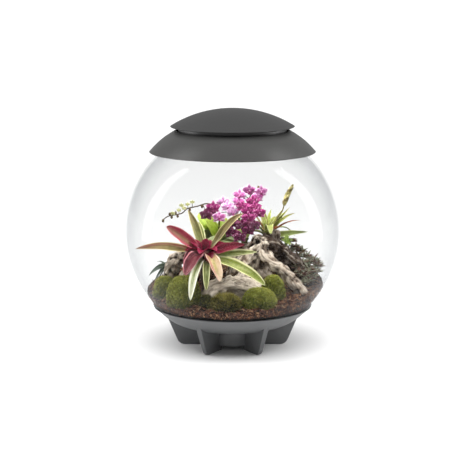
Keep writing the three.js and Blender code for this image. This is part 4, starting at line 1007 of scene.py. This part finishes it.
bladeTones = {
    "dawn": skin((124, 70, 44), (98, 90, 40), (120, 62, 50), (214, 198, 142), (132, 120, 70), 0.86,
                 side=(150, 66, 64), streak=0.25),
    "cherry": skin((122, 4, 34), (132, 34, 52), (126, 80, 70), (200, 116, 122), (150, 66, 76), 0.88,
                   heart=(116, 88, 58), side=(144, 22, 54), stops=(0, 0.5, 0.95), streak=0.2),
    "wine": skin((60, 0, 16), (98, 2, 30), (98, 14, 34), (160, 50, 74), (90, 10, 32), 0.9, streak=0.2),
    "cup": skin((34, 0, 10), (112, 0, 36), (128, 6, 50), (170, 34, 80), (78, 0, 26), 0.9),
    "tawny": skin((196, 194, 140), (84, 74, 34), (90, 56, 34), (196, 182, 128), (114, 102, 56), 0.86,
                  heart=(96, 84, 42), stops=(0, 0.26, 1), streak=0.2),
    "olive": skin((80, 98, 38), (82, 84, 32), (94, 66, 42), (196, 190, 134), (116, 120, 62), 0.86, streak=0.3),
    "green": skin((130, 116, 60), (96, 112, 36), (110, 118, 50), (222, 220, 168), (122, 140, 66), 0.78,
                  stops=(0, 0.3, 1), streak=0.3),
    "lime": skin((196, 150, 110), (124, 138, 40), (118, 132, 40), (234, 230, 180), (160, 170, 84), 0.78,
                 stops=(0, 0.2, 1), streak=0.25),
    "pink": skin((150, 8, 50), (160, 124, 64), (226, 204, 178), (230, 204, 176), (190, 140, 110), 0.86,
                 heart=(160, 150, 80), side=(164, 62, 78), stops=(0, 0.4, 1), streak=0.3),
    "blush": skin((80, 0, 18), (80, 0, 20), (128, 44, 56), (202, 128, 134), (120, 36, 50), 0.88,
                  side=(58, 0, 16), stops=(0, 0.6, 1), streak=0.16),
    "cream": skin((150, 160, 84), (190, 196, 140), (216, 216, 180), (242, 242, 220), (204, 208, 164), 0.6,
                  heart=(126, 142, 70), streak=0.6),
    "sage": skin((84, 92, 46), (88, 104, 58), (118, 130, 84), (166, 172, 122), (120, 132, 90), 0.9, streak=0.2),
}


def bromeliadPiece(finish):
    shape = Shape()
    x, y, z = crown["at"]
    fx, fy = crown["foot"]
    trunk = catmull([(fx, fy, soilHeight(fx, fy) - 14), (fx, fy - 2, 165), (x, y, z - 24), (x, y, z - 5)], 16)
    tube(shape, trunk, lambda along, angle: 8 + 4 * min(1, along * 1.4), 16, **crown["bark"])
    inset = crown["inset"]
    for blade in crown["blades"]:
        heading = radians(blade["heading"])
        start = np.array([x + inset * cos(heading), y + inset * sin(heading), z - blade["low"]])
        fine = {**blade, **crown["leaf"], "reach": blade["reach"] - inset}
        leaf(shape, start, fine, bladeTones[blade["tones"]], 34, 13)
    makePiece("bromeliad_leaves", shape, finish, "bromeliad", 60)


# Orchids
orchidKinds = {
    "bright": skin((96, 120, 34), (136, 160, 46), (162, 180, 72), (182, 194, 96), (140, 160, 70), 0.97),
    "dull": skin((64, 70, 34), (88, 100, 58), (118, 128, 84), (150, 158, 110), (110, 122, 80), 0.95),
}
bloomTones = {  # main, pale and deep
    "faded": palette((206, 204, 140), (240, 240, 206), (150, 160, 80)),
    "pale": palette((188, 124, 176), (244, 220, 238), (136, 30, 96)),
    "pink": palette((158, 56, 128), (232, 186, 220), (112, 2, 66)),
    "magenta": palette((124, 2, 80), (196, 84, 150), (70, 0, 38)),
    "purple": palette((72, 2, 42), (136, 58, 98), (36, 0, 20)),
}
orchidPaint = {"stem": stemPaint((62, 44, 32), (104, 96, 56)), "bud": stemPaint((84, 76, 44), (110, 44, 66)),
               "stock": stemPaint((110, 120, 60), (150, 150, 90)), "throat": tone(220, 150, 60)}
bloomForm = {"ahead": 1.4, "lipAt": (0, -2.2, -1.2), "lipTilt": -52, "column": (1.5, 2.2, 1.5),
             "columnAt": (0, -2.6, 0.6), "back": 2.3, "bud": 4.2, "faded": 0.36}
petalForms = table("place angles size width fullness bend cup", [
    ("back", (0, 122, 238), 17.5, 0.27, 0.85, 0.09, 0.05), ("front", (74, -74), 18.5, 0.42, 0.9, 0.02, -0.06),
    ("lip", (180,), 9.5, 0.42, 1.1, 0.2, -0.2), ("lip", (240, 120), 4.75, 0.5, 1.0, -0.5, 0.2)])
orchidLeaf = {"form": "oval", "channel": 0.12, "thick": 1.8, "ruffle": 0.02}
leafColumns, bloomColumns = "heading reach tip lift width tones roll form", "at turn tilt tones beside"
orchids = {
    "left": {
        "foot": (-34, 34, 226),
        "leaves": table(leafColumns, [
            (162, 50, 66, 62, 38, "bright", -40), (195, 30, 56, 44, 34, "bright", -40),
            (24, 22, 60, 44, 36, "bright", 14), (-24, 52, 6, 18, 26, "dull", 36), (8, 66, 22, 30, 26, "dull", 20),
            (214, 44, 30, 20, 34, "dull", -64), (60, 70, 20, 44, 28, "bright"), (110, 80, 10, 40, 28, "bright")]),
        "stems": [[(-34, 34, 240.6), (-31, 32, 290), (-38, 26, 320), (-58, 20, 330), (-82, 18, 324),
                   (-105, 14, 319), (-118, 8, 309), (-147, 0, 304), (-159, -8, 298)]],
        "buds": [(-146, -2, 318), (-127, 4, 302), (-140, 0, 296), (-160, -9, 295), (-68, 18, 317), (-133, 4, 315),
                 (-97, 14, 311)],
        "faded": [((-124, 4, 317), -20, 0), ((-112, 8, 321), 10, 10), ((-93, 12, 335), 0, 20),
                  ((-138, 2, 310), -20, 0), ((-104, 10, 330), 10, 15), ((-118, 6, 328), 0, 10)],
        "blooms": table(bloomColumns, [
            ((-45, 10, 322), -10, 0, "magenta", [((-52, 12, 310), -30, -8, "purple")]),
            ((-61, -2, 306), -25, -5, "purple"), ((-31, 3, 300), 10, -12, "pink"),
            ((-22, 24, 332), 15, 12, "pale", [((-12, 22, 322), 25, -6, "pale")]), ((1, 18, 310), 20, 0, "pale")]),
    },
    "right": {
        "foot": (28, 30, 232),
        "leaves": table(leafColumns, [
            (20, 36, 46, 40, 28, "bright"), (196, 40, 10, 20, 26, "dull", -46), (-100, 20, 12, 12, 24, "dull"),
            (170, 20, 70, 40, 24, "bright"), (100, 74, 24, 46, 30, "bright"), (70, 62, 40, 40, 28, "bright")]),
        "stems": [[(28.8, 31.4, 246.6), (30, 44, 300), (40, 48, 340), (58, 44, 362)],
                  [(27.2, 30.6, 246.6), (16, 26, 288), (14, 18, 302), (22, 4, 300), (40, -2, 286)]],
        "buds": [(64, 42, 368), (20, 36, 368), (30, 40, 372)],
        "faded": [],
        "blooms": table(bloomColumns, [
            ((17, 26, 348), -20, 5, "pink", [((14, 22, 334), -30, -10, "pink")]), ((39, 30, 360), 0, 25, "pink"),
            ((66, 28, 356), 22, 8, "pink", [((58, 24, 344), 30, -8, "pink")]),
            ((47, 12, 336), 10, 0, "magenta", [((52, 6, 322), 24, -8, "magenta")]),
            ((24, 8, 324), -12, 0, "magenta", [((36, 2, 314), 4, -4, "magenta")]),
            ((62, 2, 310), 22, -6, "magenta"), ((37, -6, 299), 0, -8, "magenta"),
            ((3, -6, 287), -24, -12, "purple", [((-12, -10, 274), -30, -6, "purple")]),
            ((-2, -14, 266), -14, -20, "purple"),
            ((36, -16, 272), 14, -16, "purple",
             [((50, -14, 284), 28, -10, "purple"), ((22, -12, 284), 0, -8, "purple")]),
            ((16, -22, 258), 6, -24, "purple")]),
    },
}


# One petal that runs from the bloom's middle at an angle from upright, seen from the front.
def petal(shape, matrix, angle, form, tones, seed):
    angle, size = radians(angle), form["size"]
    t, s = np.linspace(0, 1, 10)[:, None], np.linspace(-1, 1, 9)[None, :]
    fullness = np.sin(np.pi * np.clip(t, 0, 1) ** form["fullness"]) ** 0.7
    half = size * form["width"] * np.maximum(0.1 * (1 - t), fullness)
    ripple = 0.05 * size * np.sin(s * 4 + seed + t * 3) * t
    along = size * t * (1 - 0.08 * s * s)
    cup = form["cup"] * size * (np.abs(s) ** 2) * np.sin(np.pi * t)
    depth = form["bend"] * size * t ** 2 - cup + ripple
    sideways = np.sin(angle) * along + np.cos(angle) * s * half
    upwards = np.cos(angle) * along - np.sin(angle) * s * half
    grid = np.stack([sideways, depth, upwards], axis=2)
    grid = grid @ np.array(matrix.to_3x3()).T + np.array(matrix.translation)
    main, pale, deep = tones
    colour = paintMix(main, pale, np.maximum(smooth(0.5, 1.0, t), smooth(0.55, 1.0, np.abs(s))))
    colour = paintMix(colour, deep, smooth(0.3, 0.0, t) * 0.8)
    thicken(shape, grid, 0.55, 0.6, tone=colour, rim=paintMix(pale, colour, 0.4), lie=lieOf(s, t, seed))


def bloomTurn(flower, size):
    return (Matrix.Rotation(radians(flower["turn"]), size, "Z")
            @ Matrix.Rotation(radians(flower["tilt"]), size, "X"))


def bloom(shape, flower, seed, grow=1.0):
    main, pale, deep = tones = bloomTones[flower["tones"]]
    whole = Matrix.Translation(flower["at"]) @ bloomTurn(flower, 4) @ Matrix.Scale(grow, 4)
    ahead = whole @ Matrix.Translation((0, -bloomForm["ahead"], 0))
    lip = whole @ Matrix.Translation(bloomForm["lipAt"])
    lip = lip @ Matrix.Rotation(radians(bloomForm["lipTilt"]), 4, "X")
    places = {"back": (whole, tones), "front": (ahead, tones), "lip": (lip, (deep, main, orchidPaint["throat"]))}
    for form in petalForms:
        for angle in form["angles"]:
            petalSeed = seed if form["place"] == "lip" else seed + angle
            matrix, colours = places[form["place"]]
            petal(shape, matrix, angle, form, colours, petalSeed)
    ball(shape, np.array(whole @ Vector(bloomForm["columnAt"])), np.array(bloomForm["column"]) * grow, 8, 6,
         tone=paintMix(pale, main, 0.6), rim=np.array(pale), lie=(0, 0.5, seed))


def bloomPieces(finish):
    for side, orchid in orchids.items():
        for i, flower in enumerate(orchid["blooms"]):
            shape = Shape()
            bloom(shape, flower, i * 1.7 + 3)
            for k, beside in enumerate(table(bloomColumns, flower.get("beside", []))):
                bloom(shape, beside, i * 1.7 + k + 9)
            makePiece(f"bloom_flower_{side}_{i + 1}", shape, finish, f"bloom_{side}_{i + 1}", 70)


def stemPieces(finish):
    stemTones, size = orchidPaint["stem"], bloomForm["bud"]
    for side, orchid in orchids.items():
        shape = Shape()
        curves = [catmull(points, 60) for points in orchid["stems"]]
        spots = np.concatenate([curve[14:] for curve in curves])
        def jointed(along, angle):
            return 1.8 * (1 - 0.35 * along) * (1 + 0.12 * (sin(along * 60) > 0.96))
        def nearest(target):
            return spots[np.linalg.norm(spots - target, axis=1).argmin()]
        for curve in curves:
            tube(shape, curve, jointed, 10, **stemTones)
        for flower in orchid["blooms"]:
            front = np.array(bloomTurn(flower, 3) @ Vector((0, -1, 0)))
            end = np.array(flower["at"]) - front * bloomForm["back"]
            start = nearest(end)
            middle = (start + end) / 2 + np.array([0, 0, 1.5])
            tube(shape, catmull([start, middle, end], 8), lambda along, angle: 1.0 - 0.25 * along, 7, **stemTones)
        for bud in np.array(orchid["buds"], float):
            start = nearest(bud)
            way = bud - start
            way /= max(np.linalg.norm(way), 1e-6)
            centre = start + way * size * 0.9
            tube(shape, np.array([start, (start + centre) / 2, centre]), 0.7, 6, **stemTones)
            ball(shape, centre, (size * 0.72, size * 0.72, size * 1.05), 12, 8, **orchidPaint["bud"])
        for at, turn, tilt in orchid["faded"]:  # small faded flowers along the spray
            bloom(shape, {"at": at, "turn": turn, "tilt": tilt, "tones": "faded"}, at[0], bloomForm["faded"])
            at = np.array(at, float)
            tube(shape, np.array([nearest(at), at]), 0.6, 6, **stemTones)
        makePiece(f"orchid_stalks_{side}", shape, finish, f"orchid_{side}_stems", 60)


def orchidLeafPieces(finish):
    for side, orchid in orchids.items():
        x, y, z = orchid["foot"]
        shape = Shape()
        stock(shape, orchid["foot"], lambda along, angle: 6 + 2.2 * along, 16, orchidPaint["stock"])
        for blade in orchid["leaves"]:
            leaf(shape, np.array([x, y, z + 6]), {**blade, **orchidLeaf}, orchidKinds[blade["tones"]], 20, 11)
        makePiece(f"orchid_leaves_{side}", shape, finish, f"orchid_{side}", 60)


# Strap-leaved bromeliad and its flower spike
strapKinds = {kind: skin(*along, rim, (120, 130, 64), 0.86) for kind, along, rim in [
    ("plain", [(130, 136, 62), (148, 156, 70), (120, 112, 58)], (190, 188, 112)),
    ("red", [(188, 92, 48), (166, 66, 42), (112, 48, 40)], (206, 150, 96)),
    ("green", [(150, 160, 84), (112, 126, 62), (80, 88, 50)], (186, 192, 126)),
    ("lime", [(120, 136, 56), (158, 174, 78), (178, 186, 104)], (216, 216, 156)),
]}
strap = {
    "foot": (80, 46, 240), "stock": stemPaint((104, 104, 50), (140, 140, 76)),
    "leaf": {"form": "lance", "channel": 0.26, "thick": 0.9},
    "leaves": table(leafColumns, [
        (150, 18, 60, 36, 14, "lime"), (60, 24, 66, 46, 14, "lime"), (-30, 20, 44, 30, 13, "lime", 20),
        (20, 44, 58, 46, 13, "lime", 20), (196, 24, 28, 30, 10, "red"), (172, 32, 60, 40, 13, "lime"),
        (125, 22, 72, 44, 13, "lime"), (-165, 36, 42, 34, 13, "lime"), (95, 20, 56, 40, 14, "plain"),
        (4, 36, 66, 34, 15, "plain", 20), (-5, 67, 60, 50, 14, "plain", 34), (2, 78, 42, 44, 7, "red", 30),
        (-9, 99, 18, 12, 19, "green", 48), (175, 24, 54, 30, 13, "red"), (62, 70, 34, 60, 11, "plain"),
        (105, 64, 46, 50, 10, "plain"), (35, 84, -4, 46, 11, "plain"), (140, 54, 10, 44, 10, "plain"),
        (20, 58, 70, 40, 10, "plain", 30), (-60, 13, 20, 18, 18, "lime", 0, "oval"),
        (190, 34, 16, 20, 17, "lime", 0, "oval"), (-20, 30, 30, 26, 11, "red", 30),
        (-150, 22, 28, 22, 13, "green"), (-78, 44, 18, 56, 18, "lime", 0, "oval")]),
}
spike = {
    "points": [(79, 39, 255), (94, 41, 271), (107, 43, 295), (117, 44, 310), (122, 45, 327), (130, 45, 349),
               (141, 45, 369)],
    "bracts": 40, "from": 0.6, "length": 12, "width": 3.0, "stalk": stemPaint((120, 112, 60), (104, 74, 48)),
    "bractPaints": [stemPaint((160, 152, 88), (202, 192, 128)), stemPaint((204, 194, 132), (232, 226, 174)),
                    stemPaint((118, 102, 60), (160, 146, 92))],
}


def strapPiece(finish):
    shape = Shape()
    x, y, z = strap["foot"]
    stock(shape, strap["foot"], 6.2, 14, strap["stock"])
    for blade in strap["leaves"]:
        leaf(shape, np.array([x, y, z + 4]), {**strap["leaf"], **blade}, strapKinds[blade["tones"]], 26, 7)
    makePiece("strap_leaves", shape, finish, "strap_plant", 60)


def spikePiece(finish):
    shape = Shape()
    curve = catmull(spike["points"], 80)
    tube(shape, curve, lambda along, angle: 2.1 * (1 - 0.45 * along), 10, **spike["stalk"])
    tangents, across, over = frames(curve)
    for i in range(spike["bracts"]):  # pointed bracts set spirally, longest a third of the way up the head
        share, turn = i / (spike["bracts"] - 1), 2.4 * i
        at = int((spike["from"] + (0.985 - spike["from"]) * share) * 80)
        grow = 0.55 + 0.45 * sin(pi * min(1, 0.25 + share * 0.8))
        length, width = spike["length"] * grow, spike["width"] * grow
        way = tangents[at] * 0.86 + (cos(turn) * across[at] + sin(turn) * over[at]) * 0.52
        tip = curve[at] + (way + tangents[at] * 0.15) * length
        def pointed(along, angle):
            return width * max(0.1, sin(pi * min(1, 0.2 + 0.8 * along)))
        tube(shape, catmull([curve[at], curve[at] + way * length * 0.5, tip], 6), pointed, 8,
             **spike["bractPaints"][i % 3])
    makePiece("flower_spike_bracts", shape, finish, "flower_spike", 60)


# Rosettes and the small plants
rosettes = [  # a foot for each plant and the heads that grow from it, each with its reach
    ((126, 68, 224), [(124, 66, 232, 17), (138, 66, 230, 18), (134, 48, 210, 17), (146, 56, 218, 15)]),
    ((152, 64, 204), [(151, 62, 212, 18), (163, 60, 206, 17), (147, 34, 190, 17), (156, 46, 198, 16)]),
    ((178, 54, 187), [(176, 50, 195, 18), (190, 42, 188, 18), (163, 32, 187, 17), (178, 30, 184, 16)]),
    ((193, 20, 179), [(200, 12, 180, 18), (195, 26, 186, 18), (180, 8, 176, 17), (190, -6, 172, 16)]),
    ((152, -20, 176), [(154, -12, 168, 16), (162, 8, 172, 17), (168, -12, 164, 17), (150, 8, 178, 14)]),
    ((183, -16, 158), [(186, -14, 162, 18), (194, 0, 170, 17), (175, -24, 154, 16), (164, -30, 150, 14)]),
]
# For each whorl its leaves, their share of the reach, their rise and the first one's turn
whorls = [(8, 1.0, 0.3, 0.0), (7, 0.9, 0.7, 0.4), (5, 0.66, 1.3, 0.9), (3, 0.4, 1.6, 0.2)]
rosetteLeaf = {"form": "lance", "channel": 0.3, "thick": 1.1, "ruffle": 0, "sway": 0}
rosetteKinds = [skin(*colours, 0.84, stops=(0, 0.4, 1)) for colours in [
    ((44, 44, 34), (50, 62, 46), (94, 108, 84), (138, 142, 114), (70, 40, 34)),
    ((58, 54, 40), (82, 94, 70), (146, 152, 120), (180, 176, 146), (84, 56, 44)),
    ((60, 24, 22), (84, 40, 34), (96, 70, 52), (130, 88, 70), (64, 24, 22)),
]]
rosetteShares = (0.42, 0.33, 0.25)
rosettePaint = stemPaint((70, 48, 38), (104, 78, 60))


def rosettePieces(finish):
    for i, ((x, y, z), heads) in enumerate(rosettes):
        shape = Shape()
        low = soilHeight(x, y) - 8
        tube(shape, catmull([(x, y, low), (x, y, (low + z) / 2), (x, y, z)], 8), 2.4, 10, **rosettePaint)
        for k, (hx, hy, hz, reach) in enumerate(heads):
            stalk = [(x, y, min(z, hz) - 14), ((x + hx) / 2, (y + hy) / 2, min(z, hz) - 6), (hx, hy, hz)]
            tube(shape, catmull(stalk, 6), 1.4, 6, **rosettePaint)
            for count, share, rise, turn in whorls:
                for j in range(count):
                    heading = degrees(turn) + 360 * (j + rng.uniform(-0.25, 0.25)) / count + i * 31 + k * 47
                    length = reach * share * rng.uniform(0.85, 1.15)
                    blade = {"heading": heading, "reach": length, "tip": length * rise * rng.uniform(0.5, 1.2),
                             "lift": length * rise * 0.5, "width": reach * 0.5 * (0.6 + 0.4 * share), **rosetteLeaf}
                    kind = rosetteKinds[rng.choice(3, p=rosetteShares)]
                    leaf(shape, np.array([hx, hy, hz]), blade, kind, 7, 5)
        makePiece(f"rosette_plant_{i + 1}", shape, finish, f"rosette_{i + 1}", 60)


sidePlants = {  # stalks are ways up from the foot to where the leaves start
    "left_leaves": {
        "foot": (-176, 6, 128), "leaf": {"form": "lance", "thick": 0.9}, "stalk": [(-170, 4, 160), (-153, 0, 184)],
        "tones": skin((70, 78, 62), (60, 74, 62), (84, 98, 86), (110, 122, 104), (90, 100, 84), 0.93),
        "leaves": table("heading reach tip lift width roll", [
            (186, 42, -20, 4, 15, -40), (170, 30, -6, 8, 11, -40), (205, 24, -24, 0, 10, -30),
            (150, 28, 10, 14, 10), (110, 30, -8, 18, 11), (190, 30, -34, -6, 9, -40)]),
    },
    "right_creeper": {
        "foot": (128, 16, 222), "leaf": {"form": "oval", "thick": 0.9}, "stalk": [(128, 20, 228), (126, 24, 232)],
        "tones": skin((90, 112, 44), (112, 134, 56), (136, 154, 76), (168, 182, 108), (140, 168, 90), 0.95),
        "leaves": table("heading reach tip lift width", [
            (15, 17, 10, 10, 12), (80, 10, 22, 12, 12), (-60, 14, 2, 8, 11), (160, 13, 12, 10, 11)]),
    },
}


def sidePlantPieces(finish):
    for name, plant in sidePlants.items():
        x, y, z = plant["foot"]
        tones = plant["tones"]
        shape = Shape()
        stalk = catmull([(x, y, z - 17), (x, y, z - 4), *plant["stalk"]], 12)
        tube(shape, stalk, lambda along, angle: 2.2 - along, 10, tone=tones["foot"], rim=tones["foot"], lie=(0, 0, 2))
        for blade in plant["leaves"]:
            leaf(shape, np.array(plant["stalk"][-1], float), {**blade, **plant["leaf"]}, tones, 14, 7)
        makePiece(name + "_fine", shape, finish, name, 60)


# Camera, floor and light. The camera's frame and focal length are in pixels of the picture.
view = {"distance": 3.229, "height": 0.844, "pitch": 10.16, "focal": 1415.6, "frame": 465, "sensor": 36}
studioLight = {
    "world": 0.42, "floor": 200, "paper": 0.8, "sun": 3.6, "sunAngle": 70, "sunFrom": (-0.04, -0.4, 2.0),
    "boxes": [  # name, place, aim, width, height, watts, and whether only mirrored or only lighting
        ("leftBox", (-2.0, 0.25, 2.0), (0, 0.25, 2.0), 0.42, 4.0, 62, "mirrored"),
        ("rightBox", (2.0, 0.2, 2.0), (0, 0.2, 2.0), 0.5, 4.0, 68, "mirrored"),
        ("leftFill", (-1.7, -0.25, 1.5), (0, 0, 0.2), 0.9, 0.9, 20, "lighting"),
        ("rightFill", (1.7, -0.25, 1.5), (0, 0, 0.2), 0.9, 0.9, 23, "lighting"),
        ("insideLamp", (0, 0, 0.455), (0, 0, 0), 0.16, 0.16, 1.5, "lighting"),
    ],
}


def addLight(name, light, place, aim):
    holder = newObject(name, light)
    holder.location = place
    holder.rotation_euler = (Vector(aim) - Vector(place)).to_track_quat("-Z", "Y").to_euler()
    return holder


def studio():
    scene = bpy.context.scene
    scene.view_settings.view_transform = "Standard"
    camera = bpy.data.cameras.new("camera")
    camera.sensor_width = view["sensor"]
    camera.lens = view["focal"] / view["frame"] * view["sensor"]
    camera.clip_end = 200
    holder = newObject("camera", camera)
    holder.location = (0, -view["distance"], view["height"])
    holder.rotation_euler = (radians(90 - view["pitch"]), 0, 0)
    scene.camera = holder
    scene.world = bpy.data.worlds.new("studio")
    scene.world.use_nodes = True
    sky = scene.world.node_tree.nodes["Background"].inputs
    sky["Color"].default_value, sky["Strength"].default_value = (1, 1, 1, 1), studioLight["world"]
    half = studioLight["floor"]
    floor = bpy.data.meshes.new("floor")
    floor.from_pydata([(-half, -half, 0), (half, -half, 0), (half, half, 0), (-half, half, 0)], [], [(0, 1, 2, 3)])
    newObject("floor", floor)
    paper = (*[studioLight["paper"]] * 3, 1)
    floor.materials.append(Finish("floorPaper").surface(paper, 0.6, shine=0.15))
    sun = bpy.data.lights.new("softSky", "SUN")
    sun.energy, sun.angle = studioLight["sun"], radians(studioLight["sunAngle"])
    addLight("softSky", sun, studioLight["sunFrom"], (0, 0, 0)).visible_glossy = False
    for name, place, aim, width, height, watts, use in studioLight["boxes"]:
        box = bpy.data.lights.new(name, "AREA")
        box.shape, box.size, box.size_y, box.energy = "RECTANGLE", width, height, watts
        holder = addLight(name, box, place, aim)
        holder.visible_camera = False
        holder.visible_glossy, holder.visible_diffuse = use == "mirrored", use == "lighting"


studio()
print("studio ready")

darkPlastic = plastic("darkPlastic", tone(30, 30, 31), 0.5)
ballPiece(clearWall())
standPiece(plastic("standSatin", tone(90, 91, 92), 0.4))
collarPiece(plastic("collarSatin", tone(60, 60, 59), 0.36, 0.22))
lidPiece(plastic("lidSatin", tone(54, 54, 54), 0.44, 0.17))
lampPieces(darkPlastic, plastic("boardWhite", tone(226, 228, 224), 0.5),
           plastic("frostedLens", tone(240, 240, 234), 0.35))
matPiece(feltFinish())
print("shell built")

soilPiece(soilFinish())
print("soil laid")
wood = woodFinish()
for limbName, limbs in woodLimbs.items():
    woodPiece(limbName, limbs, wood)
print("wood carved")
moss = mossFinish()
for cushionName, cushion in cushions.items():
    mossPiece(cushionName, cushion, moss)
print("moss grown")

bromeliadPiece(leafFinish("bromeliadLeaf", 0.38, coat=0.15))
orchidLeafPieces(leafFinish("orchidLeaf", 0.42, 0.00006))
stemPieces(stemFinish())
bloomPieces(petalFinish())
strapLeaf = leafFinish("strapLeaf", 0.5)
strapPiece(strapLeaf)
spikePiece(strapLeaf)
rosettePieces(leafFinish("rosetteLeaf", 0.48, 0.00005))
sidePlantPieces(leafFinish("smallLeaf", 0.45))
print("plants set")
